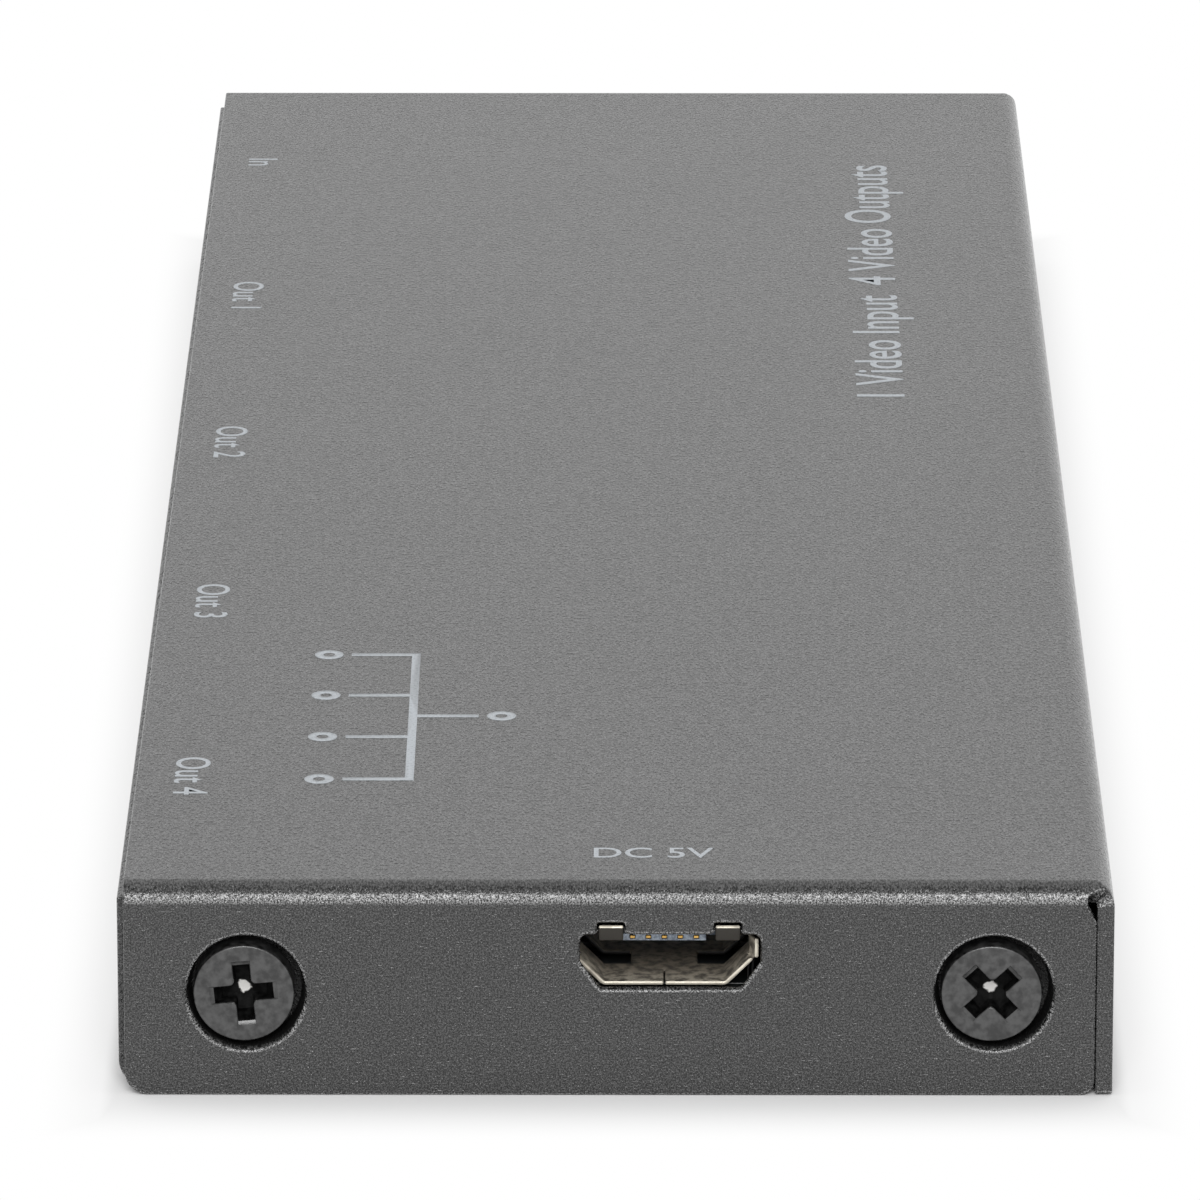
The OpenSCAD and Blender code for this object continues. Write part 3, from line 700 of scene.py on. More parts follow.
def grown(outline: Sequence[Point], gap: float) -> Loop:
    """Anticlockwise outline moved outwards by a gap, with mitred corners.

    Args:
        outline: the outline's points.
        gap: how far it moves.

    Returns:
        The moved outline.
    """
    made: Loop = []
    for k, here in enumerate(outline):
        before = (Vector(here) - Vector(outline[k - 1])).normalized()
        after = (Vector(outline[(k + 1) % len(outline)]) - Vector(here)).normalized()
        a = Vector((before.y, -before.x))
        b = Vector((after.y, -after.x))
        moved = Vector(here) + (a + b) * (gap / (1.0 + a.dot(b)))
        made.append((moved.x, moved.y))
    return made


def shifted(outline: Sequence[Point], across: float, up: float) -> Loop:
    """Outline moved in its own plane."""
    return [(x + across, y + up) for x, y in outline]


@dataclass(frozen=True)
class Plane:
    """A flat place for outlines, with its own axes and the way out of the material."""

    origin: Vector
    across: Vector
    up: Vector
    out: Vector

    def at(self, u: float, v: float, depth: float = 0.0) -> Vector:
        """Point in metres at the given coordinates, sunk into the material by a depth."""
        return (self.origin + self.across * u + self.up * v - self.out * depth) * MM


class SheetSkin:
    """Outer skin of folded sheet metal: panels, bends and dimples welded into one mesh."""

    def __init__(self) -> None:
        """Starts an empty skin."""
        self.mesh = bmesh.new()

    def panel(self, plane: Plane, outline: Loop, holes: Sequence[Loop] = ()) -> None:
        """Adds a flat panel.

        Args:
            plane: where the panel lies.
            outline: its outer edge.
            holes: closed outlines that are left open.
        """
        edges = []
        for loop in (outline, *holes):
            corners = [self.mesh.verts.new(plane.at(u, v)) for u, v in loop]
            edges += [self.mesh.edges.new(pair) for pair in zip(corners, corners[1:] + corners[:1])]
        filled = bmesh.ops.triangle_fill(self.mesh, edges=edges, use_beauty=True, normal=plane.out)
        for face in filled["geom"]:
            if isinstance(face, bmesh.types.BMFace):
                face.normal_update()
                if face.normal.dot(plane.out) < 0.0:
                    face.normal_flip()

    def grid(
        self, rows: Sequence[Sequence[Vector]], out: Vector, closed: bool = False, finish: int = 0
    ) -> None:
        """Adds quads between neighbouring rows of points.

        Args:
            rows: rows of as many points each.
            out: a direction that the first quad faces.
            closed: whether each row runs back to its first point.
            finish: number of the quads' material on the piece.
        """
        made = [[self.mesh.verts.new(point) for point in row] for row in rows]
        faces = []
        for upper, lower in zip(made, made[1:]):
            ahead = list(range(1, len(upper))) + ([0] if closed else [])
            for k, n in enumerate(ahead):
                faces.append(self.mesh.faces.new((upper[k], upper[n], lower[n], lower[k])))
                faces[-1].material_index = finish
        faces[0].normal_update()
        if faces[0].normal.dot(out) < 0.0:
            for face in faces:
                face.normal_flip()

    def bend(self, axis: Sequence[Vector], radius: float, start: Vector, end: Vector) -> None:
        """Adds a quarter bend.

        Args:
            axis: points along the bend's axis, in millimetres.
            radius: outer radius.
            start: direction from the axis to the first panel.
            end: direction from the axis to the second panel.
        """
        ways = [start * math.cos(turn) + end * math.sin(turn) for turn in QUARTER]
        self.grid([[(point + way * radius) * MM for point in axis] for way in ways], start)

    def dimple(self, plane: Plane, centre: Point, profile: Sequence[Point]) -> None:
        """Adds a round dimple that joins a hole of a panel.

        Args:
            plane: the panel's plane.
            centre: middle of the dimple.
            profile: radius and depth of each ring, from the panel inwards.
        """
        rings = [[plane.at(u, v, depth) for u, v in circle(centre, radius)] for radius, depth in profile]
        self.grid(rings, plane.out, closed=True)

    def rim(self, plane: Plane, outline: Loop, profile: Sequence[Point]) -> None:
        """Adds a rolled rim inside a hole of a panel.

        Args:
            plane: the panel's plane.
            outline: the hole at the foot of the rim, anticlockwise.
            profile: gap to that outline and depth of each ring, from the panel inwards.
        """
        rings = [[plane.at(u, v, depth) for u, v in grown(outline, gap)] for gap, depth in profile]
        self.grid(rings, plane.out, closed=True)

    def piece(self, name: str, thickness: float, edge: float) -> bpy.types.Object:
        """Makes the sheet from its skin.

        Args:
            name: the piece's name.
            thickness: sheet thickness, which is added inwards.
            edge: radius of the painted edges.

        Returns:
            The finished piece.
        """
        bmesh.ops.remove_doubles(self.mesh, verts=self.mesh.verts[:], dist=WELD)
        made = mesh_piece(name, self.mesh)
        sheet = made.modifiers.new("sheet", "SOLIDIFY")
        sheet.thickness = thickness * MM
        sheet.offset = -1.0
        sheet.use_even_offset = True
        soften(made, edge, weld=False)
        return made


def mesh_piece(name: str, mesh: bmesh.types.BMesh) -> bpy.types.Object:
    """Turns a bmesh into a smooth-shaded object of the scene and frees it.

    Args:
        name: the object's name.
        mesh: the bmesh.

    Returns:
        The object.
    """
    data = bpy.data.meshes.new(name)
    mesh.to_mesh(data)
    mesh.free()
    data.shade_smooth()
    made = bpy.data.objects.new(name, data)
    bpy.context.scene.collection.objects.link(made)
    return made


def soften(piece: bpy.types.Object, edge: float, weld: bool = True) -> None:
    """Rounds a piece's sharp edges and evens out its shading.

    Args:
        piece: the object to soften.
        edge: radius of the rounding in millimetres.
        weld: whether the mesh's faces first have to be joined at their edges.
    """
    if weld:
        piece.modifiers.new("weld", "WELD").merge_threshold = WELD / 2
    rounding = piece.modifiers.new("edges", "BEVEL")
    rounding.limit_method = "ANGLE"
    rounding.angle_limit = math.radians(EDGE_ANGLE)
    rounding.width = edge * MM
    rounding.segments = EDGE_STEPS
    rounding.use_clamp_overlap = False
    rounding.loop_slide = False
    shading = piece.modifiers.new("shading", "WEIGHTED_NORMAL")
    shading.weight = 100
    shading.keep_sharp = True


def dress(
    piece: bpy.types.Object,
    materials: Sequence[bpy.types.Material],
    replaced: str | None = None,
) -> None:
    """Gives a piece its materials, rides it on the body and hides the solid that it stands for.

    Args:
        piece: the piece.
        materials: its materials, in the order of their numbers on the piece.
        replaced: the solid that it stands for, if any.
    """
    for material in materials:
        piece.data.materials.append(material)
    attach(piece, BODY)
    if replaced:
        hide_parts(replaced)


@dataclass(frozen=True)
class CaseBox:
    """Faces of the case in millimetres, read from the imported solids."""

    wall: float
    cover_left: float
    side: float
    near: float
    far: float
    top: float
    tray_near: float
    wall_top: float

    @classmethod
    def read(cls) -> CaseBox:
        """Reads the faces from the solids of the cover and the tray.

        Returns:
            The faces.
        """
        cover_low, cover_high = (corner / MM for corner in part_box("top_cover"))
        tray_low, tray_high = (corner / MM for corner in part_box("bottom_tray"))
        return cls(
            wall=tray_low.x,
            cover_left=cover_low.x,
            side=cover_high.x,
            near=cover_low.y,
            far=cover_high.y,
            top=cover_high.z,
            tray_near=tray_low.y,
            wall_top=tray_high.z,
        )


@dataclass
class ScrewPlan:
    """Where the case screws go and how their seats are shaped."""

    span: float = 30.4
    shift: float = 0.2
    height: float = 4.4
    dimple_r: float = 2.42
    rim_r: float = 0.2
    draft: float = 0.14
    sink: float = 1.3
    hole_r: float = 1.4
    ear_depth: float = 2.0

    def columns(self) -> tuple[float, float]:
        """Sideways places of the two screws of an end."""
        return (self.shift - self.span / 2, self.shift + self.span / 2)

    def profile(self) -> Loop:
        """Radius and depth of the dimple's rings: a rounded rim, a steep wall and a flat floor.

        Returns:
            The rings, from the panel inwards.
        """
        slope = math.degrees(math.atan2(self.draft, self.sink))
        rim = arc((self.dimple_r + self.rim_r, self.rim_r), self.rim_r, 270.0, 180.0 + slope)
        return rim + [(self.dimple_r - self.draft, self.sink), (self.hole_r, self.sink)]


@dataclass
class PowerOpening:
    """Cut-out in the power end, with a notch round each flared lip of the socket."""

    middle_x: float = 2.0
    middle_z: float = 5.575
    half_w: float = 3.67
    shift: float = 0.24
    low: float = 0.985
    high: float = 1.305
    foot: Point = (0.8, 1.1)
    lips_x: tuple[float, float] = (2.57, -2.17)
    notch_w: float = 1.15
    notch_top: float = 1.805
    corner_r: float = 0.32
    notch_r: float = 0.12
    neck_r: float = 0.24
    rim_r: float = 0.18
    rim_depth: float = 0.3

    def rim(self) -> Loop:
        """Gap to the outline and depth of the rolled rim's rings."""
        return arc((self.rim_r, self.rim_r), self.rim_r, 270.0, 180.0, steps=6) + [(0.0, self.rim_depth)]

    def outline(self) -> Loop:
        """Closed outline in X and Z.

        Returns:
            Its points, anticlockwise.
        """
        left, right = self.shift - self.half_w, self.shift + self.half_w
        foot_x, foot_z = self.foot[0], self.foot[1] - self.low
        half = self.notch_w / 2
        r = self.corner_r
        corners: list[Corner] = [
            (left + foot_x, -self.low, r),
            (right - foot_x, -self.low, r),
            (right, foot_z, r),
            (right, self.high, r),
        ]
        for middle in self.lips_x:
            corners += [
                (middle + half, self.high, self.neck_r),
                (middle + half, self.notch_top, self.notch_r),
                (middle - half, self.notch_top, self.notch_r),
                (middle - half, self.high, self.neck_r),
            ]
        corners += [(left, self.high, r), (left, foot_z, r)]
        return shifted(rounded(corners, steps=4), self.middle_x, self.middle_z)


@dataclass
class TopCover:
    """Folded cover: the top, the plain long side and both ends in one sheet."""

    box: CaseBox
    screws: ScrewPlan
    opening: PowerOpening
    sheet_t: float = 0.7
    bend_r: float = 0.9
    seam: float = 0.02
    relief_w: float = 0.37
    relief_drop: float = 0.65
    relief_turns: Point = (40.0, 62.0)
    corner_r: float = 0.9
    right_corner_r: float = 0.62
    edge_r: float = 0.07

    def build(self) -> bpy.types.Object:
        """Folds the sheet.

        Returns:
            The cover.
        """
        skin = SheetSkin()
        box, r = self.box, self.bend_r
        bend_z, bend_x = box.top - r, box.side - r
        near, far = box.near + r, box.far - r
        top = Plane(Z_AXIS * box.top, X_AXIS, Y_AXIS, Z_AXIS)
        skin.panel(top, [(box.cover_left, near), (bend_x, near), (bend_x, far), (box.cover_left, far)])
        self.add_side_bend(skin, bend_x, bend_z)
        side = Plane(X_AXIS * box.side, Y_AXIS, Z_AXIS, X_AXIS)
        foot = self.corner_r / 4
        skin.panel(side, rounded([
            (box.near, bend_z, 0.0), (box.near, 0.0, foot), (box.far, 0.0, foot),
            (box.far, bend_z, 0.0), (far, bend_z, 0.0), (near, bend_z, 0.0),
        ]))
        for end, face, axis_y in ((End.POWER, box.near, near), (End.FAR, box.far, far)):
            out = Y_AXIS * end.value
            self.add_end_bend(skin, Vector((bend_x, axis_y, bend_z)), out)
            self.add_flange(skin, Plane(Y_AXIS * face, X_AXIS, Z_AXIS, out), end, bend_z)
        return skin.piece("folded_cover", self.sheet_t, self.edge_r)

    def flange_right(self) -> float:
        """Right edge of an end, just inside the plain side."""
        return self.box.side - self.sheet_t - self.seam

    def add_side_bend(self, skin: SheetSkin, bend_x: float, bend_z: float) -> None:
        """Adds the bend from the top to the plain side, mitred to the bends of both ends.

        Args:
            skin: the sheet that is being folded.
            bend_x: sideways place of the bend's axis.
            bend_z: height of that axis.
        """
        box, r = self.box, self.bend_r
        rows = []
        for turn in QUARTER:
            x, z = bend_x + r * math.sin(turn), bend_z + r * math.cos(turn)
            back = r * (1.0 - math.sin(turn))
            places = (box.near + back, box.near + r, box.far - r, box.far - back)
            rows.append([Vector((x, y, z)) * MM for y in places])
        skin.grid(rows[::-1], X_AXIS)

    def add_end_bend(self, skin: SheetSkin, axis: Vector, out: Vector) -> None:
        """Adds the bend from the top to one end, cut back at its right by the corner relief.

        Args:
            skin: the sheet that is being folded.
            axis: where the bend's axis meets that of the bend to the plain side.
            out: the way that the end faces.
        """
        relief_x = self.flange_right() - self.relief_w
        first, last = (math.radians(turn) for turn in self.relief_turns)
        rows = []
        for turn in QUARTER:
            cut = min(max((turn - first) / (last - first), 0.0), 1.0)
            mitre_x = axis.x + self.bend_r * math.sin(turn)
            right = mitre_x + (relief_x - mitre_x) * math.sqrt(cut)
            rim = axis + (Z_AXIS * math.cos(turn) + out * math.sin(turn)) * self.bend_r
            rows.append([Vector((x, rim.y, rim.z)) * MM for x in (self.box.cover_left, right)])
        skin.grid(rows, Z_AXIS)

    def add_flange(self, skin: SheetSkin, plane: Plane, end: End, bend_z: float) -> None:
        """Adds one end with its dimples, the foot of its relief and, at the power end, its opening.

        Args:
            skin: the sheet that is being folded.
            plane: outer face of the end.
            end: which end it is.
            bend_z: height where the bend to the top begins.
        """
        right = self.flange_right()
        left = self.box.cover_left
        outline = rounded([
            (left, bend_z, 0.0), (left, 0.0, self.corner_r), (right, 0.0, self.right_corner_r),
            (right, bend_z - self.relief_drop, 0.0), (right - self.relief_w, bend_z, 0.0),
        ])
        profile = self.screws.profile()
        places = [(x, self.screws.height) for x in self.screws.columns()]
        holes = [circle(place, profile[0][0]) for place in places]
        if end is End.POWER:
            rim, edge = self.opening.rim(), self.opening.outline()
            holes.append(grown(edge, rim[0][0]))
            skin.rim(plane, edge, rim)
        skin.panel(plane, outline, holes)
        for place in places:
            skin.dimple(plane, place, profile)


@dataclass
class SocketRow:
    """Row of video sockets along the wall: their places and the outline of a mouth."""

    names: tuple[str, ...] = ("in", "out_1", "out_2", "out_3", "out_4")
    pitch: float = 24.0
    middle_z: float = 4.475
    width: float = 14.0
    height: float = 4.55
    side_drop: float = 0.62
    step_in: float = 1.4
    step_h: float = 0.42
    taper: float = 0.15
    wall_gap: float = 0.55
    fillet: float = 0.45
    light_z: float = 4.8
    light_r: float = 0.78

    def place(self, index: float) -> float:
        """Place along Y of a socket, or between two with a half."""
        return ((len(self.names) - 1) / 2 - index) * self.pitch

    def mouth(self) -> Loop:
        """Inner outline of a socket, wide above and stepped in below.

        Returns:
            Its corners, anticlockwise.
        """
        a = self.width / 2
        b = a - self.step_in
        top = self.height / 2
        return [
            (a, top), (-a, top), (-a, -self.side_drop), (-b, self.step_h - top), (self.taper - b, -top),
            (b - self.taper, -top), (b, self.step_h - top), (a, -self.side_drop),
        ]

    def wall_holes(self) -> list[Loop]:
        """Cut-outs for the sockets and the light pins, in Y and Z.

        Returns:
            The closed outlines.
        """
        corners = [(y, z, self.fillet) for y, z in grown(self.mouth(), self.wall_gap)]
        cut = rounded(corners, steps=5)
        sockets = [shifted(cut, self.place(k), self.middle_z) for k in range(len(self.names))]
        middles = [k + 0.5 for k in range(len(self.names) - 1)]
        lights = [(self.place(k), self.light_z) for k in middles]
        return sockets + [circle(light, self.light_r, HOLE_STEPS) for light in lights]


@dataclass
class BottomTray:
    """Folded tray: the floor, the socket wall, a stiffening lip and four screw ears."""

    box: CaseBox
    screws: ScrewPlan
    row: SocketRow
    sheet_t: float = 0.7
    bend_r: float = 1.2
    seam: float = 0.06
    relief_w: float = 0.25
    ear_w: float = 6.6
    ear_drop: float = 1.3
    thread_r: float = 1.27
    lip_h: float = 4.0
    lip_from_end: float = 4.9
    post_r: float = 1.55
    post_from_wall: float = 7.25
    post_from_side: float = 5.25
    edge_r: float = 0.07

    def build(self) -> bpy.types.Object:
        """Folds the sheet.

        Returns:
            The tray.
        """
        skin = SheetSkin()
        box, r = self.box, self.bend_r
        near, far = box.tray_near, -box.tray_near
        wall = Plane(X_AXIS * box.wall, Y_AXIS, Z_AXIS, -X_AXIS)
        corner = [(near, box.wall_top), (near, r), (far, r), (far, box.wall_top)]
        skin.panel(wall, corner, self.row.wall_holes())
        skin.bend([Vector((box.wall + r, y, r)) for y in (near, far)], r, -Z_AXIS, -X_AXIS)
        floor = Plane(Vector(), X_AXIS, Y_AXIS, -Z_AXIS)
        skin.panel(floor, self.floor_outline(), self.post_holes())
        self.add_lip(skin)
        for end in End:
            for x in self.screws.columns():
                self.add_ear(skin, x, end)
        return skin.piece("folded_tray", self.sheet_t, self.edge_r)

    def right(self) -> float:
        """Outer face of the lip, just inside the cover's plain side."""
        return self.box.side - self.sheet_t - self.seam

    def lip_end(self) -> float:
        """Half length of the lip."""
        return self.box.far - self.lip_from_end

    def ear_face(self) -> float:
        """Distance of an ear's outer face from the middle of the case."""
        return self.box.far - self.screws.ear_depth

    def floor_outline(self) -> Loop:
        """Edge of the floor, cut back for the ears and beside the lip.

        Returns:
            The closed outline.
        """
        notch_y = self.ear_face() - self.bend_r
        half = self.ear_w / 2
        far = -self.box.tray_near
        edge: Loop = [(self.box.wall + self.bend_r, far)]
        for x in self.screws.columns():
            left, right = x - half, x + half
            cut_left, cut_right = left - self.relief_w, right + self.relief_w
            edge += [(cut_left, far), (cut_left, notch_y), (left, notch_y)]
            edge += [(right, notch_y), (cut_right, notch_y), (cut_right, far)]
        bend_x = self.right() - self.bend_r
        cut = self.lip_end() + self.relief_w
        edge += [(self.right(), far), (self.right(), cut), (bend_x, cut), (bend_x, self.lip_end())]
        return edge + [(x, -y) for x, y in reversed(edge)]

    def post_holes(self) -> list[Loop]:
        """Holes that the shanks of the board posts fill.

        Returns:
            The closed outlines.
        """
        columns = (self.box.wall + self.post_from_wall, self.box.side - self.post_from_side)
        rows = (self.row.place(0.5), self.row.place(len(self.row.names) - 1.5))
        return [circle((x, y), self.post_r, RING_STEPS) for x in columns for y in rows]

    def add_lip(self, skin: SheetSkin) -> None:
        """Adds the lip along the plain side.

        Args:
            skin: the sheet that is being folded.
        """
        ends = (-self.lip_end(), self.lip_end())
        bend_x = self.right() - self.bend_r
        skin.bend([Vector((bend_x, y, self.bend_r)) for y in ends], self.bend_r, -Z_AXIS, X_AXIS)
        face = Plane(X_AXIS * self.right(), Y_AXIS, Z_AXIS, X_AXIS)
        low, high = self.bend_r, self.lip_h
        skin.panel(face, [(ends[0], low), (ends[1], low), (ends[1], high), (ends[0], high)])

    def add_ear(self, skin: SheetSkin, x: float, end: End) -> None:
        """Adds one screw ear, bent up from the floor.

        Args:
            skin: the sheet that is being folded.
            x: sideways place of the screw.
            end: which end it is at.
        """
        out = Y_AXIS * end.value
        left, right = x - self.ear_w / 2, x + self.ear_w / 2
        axis_y = (self.ear_face() - self.bend_r) * end.value
        axis = [Vector((side, axis_y, self.bend_r)) for side in (left, right)]
        skin.bend(axis, self.bend_r, -Z_AXIS, out)
        face = Plane(out * self.ear_face(), X_AXIS, Z_AXIS, out)
        low, high = self.bend_r, self.box.top - self.ear_drop
        hole = circle((x, self.screws.height), self.thread_r, HOLE_STEPS)
        skin.panel(face, [(left, low), (right, low), (right, high), (left, high)], [hole])


@dataclass
class CaseScrews:
    """Four cheese-head screws with cross recesses, sunk in the dimples of the ends."""

    box: CaseBox
    plan: ScrewPlan
    head_r: float = 2.05
    head_top: float = 0.1
    off_centre: Point = (-0.1, -0.06)
    edge_r: float = 0.08
    thread_r: float = 1.25
    length: float = 4.4
    recess_span: float = 1.35
    recess_wing: float = 0.36
    recess_fillet: float = 0.2
    recess_depth: float = 0.9
    recess_tip: float = 0.1
    thread_tip: Point = (0.01, 0.1)
    sharp: float = 35.0
    power_turns: tuple[float, float] = (5.5, 43.0)
    far_turns: tuple[float, float] = (71.0, 20.0)

    def recess(self, span: float, wing: float, turn: float) -> Loop:
        """Closed outline of the cross at one depth.

        Args:
            span: reach of each wing from the middle.
            wing: half width of a wing.
            turn: turn of the cross in degrees.

        Returns:
            Its points, as many at every depth.
        """
        fillet = min(self.recess_fillet, (span - wing) * 0.8)
        corners: list[Corner] = []
        for quarter in range(4):
            way = math.radians(90.0 * quarter + turn)
            ahead = Vector((math.cos(way), math.sin(way)))
            aside = Vector((-ahead.y, ahead.x))
            for along, off, radius in ((span, -wing, 0.0), (span, wing, 0.0), (wing, wing, fillet)):
                point = ahead * along + aside * off
                corners.append((point.x, point.y, radius))
        return rounded(corners, steps=4)

    def add_screw(self, skin: SheetSkin, plane: Plane, place: Point, turn: float) -> None:
        """Adds one screw.

        Args:
            skin: mesh that takes all the screws.
            plane: face of the flange that the screw goes through.
            place: the screw's axis on that face.
            turn: turn of its recess in degrees.
        """
        top = Plane(plane.origin - plane.out * self.head_top, plane.across, plane.up, plane.out)
        seat = self.plan.sink - self.head_top
        rounding = arc((self.head_r - self.edge_r, self.edge_r), self.edge_r, 270.0, 360.0, steps=4)
        outside = rounding + [
            (self.head_r, seat),
            (self.thread_r, seat),
            (self.thread_r, self.length),
            (self.thread_tip[0], self.length + self.thread_tip[1]),
        ]
        s, w, deep = self.recess_span, self.recess_wing, self.recess_depth
        # Reach and half width of the wings, and depth, from the top of the head to the recess's floor.
        steps = [
            (s + 0.03, w + 0.03, 0.0),
            (s, w, 0.03),
            (s - 0.14, w - 0.01, 0.1),
            (s - 0.45, w - 0.02, deep * 0.85),
            (s * 0.4, w * 0.85, deep * 0.97),
            (w * 1.15, w * 0.8, deep),
        ]
        loops = [shifted(self.recess(*step[:2], turn), *place) for step in steps]
        skin.panel(top, circle(place, outside[0][0]), [loops[0]])
        skin.dimple(top, place, outside)
        walls = [[top.at(u, v, step[2]) for u, v in loop] for loop, step in zip(loops, steps)]
        tip = [top.at(place[0], place[1], deep + self.recess_tip)] * len(walls[0])
        skin.grid(walls[:3], plane.out, closed=True)
        skin.grid([*walls[2:], tip], plane.out, closed=True, finish=1)

    def build(self) -> bpy.types.Object:
        """Makes the four screws as one piece.

        Returns:
            The screws.
        """
        skin = SheetSkin()
        for end, face, turns in ((End.POWER, self.box.near, self.power_turns),
                                 (End.FAR, self.box.far, self.far_turns)):
            plane = Plane(Y_AXIS * face, X_AXIS, Z_AXIS, Y_AXIS * end.value)
            for x, turn in zip(self.plan.columns(), turns):
                place = (x + self.off_centre[0], self.plan.height + self.off_centre[1])
                self.add_screw(skin, plane, place, turn)
        bmesh.ops.remove_doubles(skin.mesh, verts=skin.mesh.verts[:], dist=WELD)
        bmesh.ops.recalc_face_normals(skin.mesh, faces=skin.mesh.faces[:])
        piece = mesh_piece("cheese_head_screws", skin.mesh)
        piece.data.set_sharp_from_angle(angle=math.radians(self.sharp))
        return piece


@dataclass
class Markings:
    """Generic printed marks on the cover: a word at each socket, one line and a plain diagram."""

    box: CaseBox
    row: SocketRow
    film: float = 0.006
    letter: float = 2.05
    power_scale: float = 0.86
    line_scale: float = 1.55
    weight: float = 0.006
    socket_x: float = -17.75
    power_place: Point = (1.5, -57.9)
    line_place: Point = (12.35, 27.1)
    diagram_x: float = -8.6
    diagram_y: float = -40.0
    stroke: float = 0.37
    branch: float = 2.6
    branch_pitch: float = 5.6
    dot_gap: float = 0.35
    dot_r: float = 0.62

    def text(self, name: str, words: str, place: Point, turn: float, size: float) -> bpy.types.Object:
        """Makes one printed line.

        Args:
            name: the piece's name.
            words: what it says.
            place: middle of the line on the cover.
            turn: turn of the line in degrees.
            size: letter size in millimetres.

        Returns:
            The line.
        """
        data = bpy.data.curves.new(name, "FONT")
        data.body = words
        data.size = size * MM
        data.align_x = "CENTER"
        data.align_y = "CENTER"
        data.extrude = self.film / 2 * MM
        data.offset = size * self.weight * MM
        data.resolution_u = 6
        piece = bpy.data.objects.new(name, data)
        piece.location = Vector((place[0], place[1], self.box.top + self.film / 2)) * MM
        piece.rotation_euler = (0.0, 0.0, math.radians(turn))
        bpy.context.scene.collection.objects.link(piece)
        return piece

    def diagram(self) -> bpy.types.Object:
        """Draws one line that splits into four, each with a dot at its end.

        Returns:
            The diagram.
        """
        half, reach, pitch, dot = self.stroke / 2, self.branch, self.branch_pitch, self.dot_r
        steps = (-1.5, -0.5, 0.5, 1.5)
        left, right = -half, half
        comb: Loop = [(right, -1.5 * pitch - half)]
        comb += [(right, -half), (right + reach, -half), (right + reach, half), (right, half)]
        comb += [(right, 1.5 * pitch + half)]
        for k in reversed(steps):
            comb += [(left - reach, k * pitch + half), (left - reach, k * pitch - half)]
            comb += [(left, k * pitch - half), (left, (k - 1) * pitch + half)] if k > steps[0] else []
        away = half + reach + self.dot_gap + dot
        dots = [(-away, k * pitch) for k in steps] + [(away, 0.0)]
        skin = SheetSkin()
        middle = Vector((self.diagram_x, self.diagram_y, self.box.top + self.film))
        film = Plane(middle, X_AXIS, Y_AXIS, Z_AXIS)
        skin.panel(film, comb)
        for place in dots:
            ring, hole = (circle(place, r, RING_STEPS) for r in (dot, dot - self.stroke))
            skin.panel(film, ring, [hole])
        piece = mesh_piece("split_diagram", skin.mesh)
        layer = piece.modifiers.new("film", "SOLIDIFY")
        layer.thickness = self.film * MM
        layer.offset = -1.0
        return piece

    def build(self) -> list[bpy.types.Object]:
        """Prints all the marks.

        Returns:
            The printed pieces.
        """
        size = self.letter * self.power_scale
        pieces = [self.diagram(), self.text("mark_power", "DC 5V", self.power_place, 0.0, size)]
        for k, name in enumerate(self.row.names):
            words = name.capitalize().replace("_", " ")
            place = (self.socket_x, self.row.place(k))
            pieces.append(self.text(f"mark_{name}", words, place, -90.0, self.letter))
        line = "1 Video Input  4 Video Outputs"
        size = self.letter * self.line_scale
        return pieces + [self.text("mark_line", line, self.line_place, 90.0, size)]


@dataclass
class KeptSolids:
    """Solids that keep their shape and get softened edges and a finish."""

    edge: float
    own_edge: float
    finishes: Mapping[Slot, bpy.types.Material]
    own: Mapping[str, bpy.types.Material]

    def dress(self, frame: Mapping[str, object]) -> list[str]:
        """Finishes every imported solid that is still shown.


        Returns:
            Names of the solids that were dressed.
        """
        slots = {part["node"]: Slot(part["material_slot"]) for part in frame["record"]["subparts"]}
        shown = {name: solid for name, solid in frame["nodes"].items() if not solid.hide_render}
        for name, solid in shown.items():
            solid.data.materials.clear()
            solid.data.materials.append(self.own.get(name, self.finishes[slots[name]]))
            soften(solid, self.own_edge if name in self.own else self.edge)
        return sorted(shown)


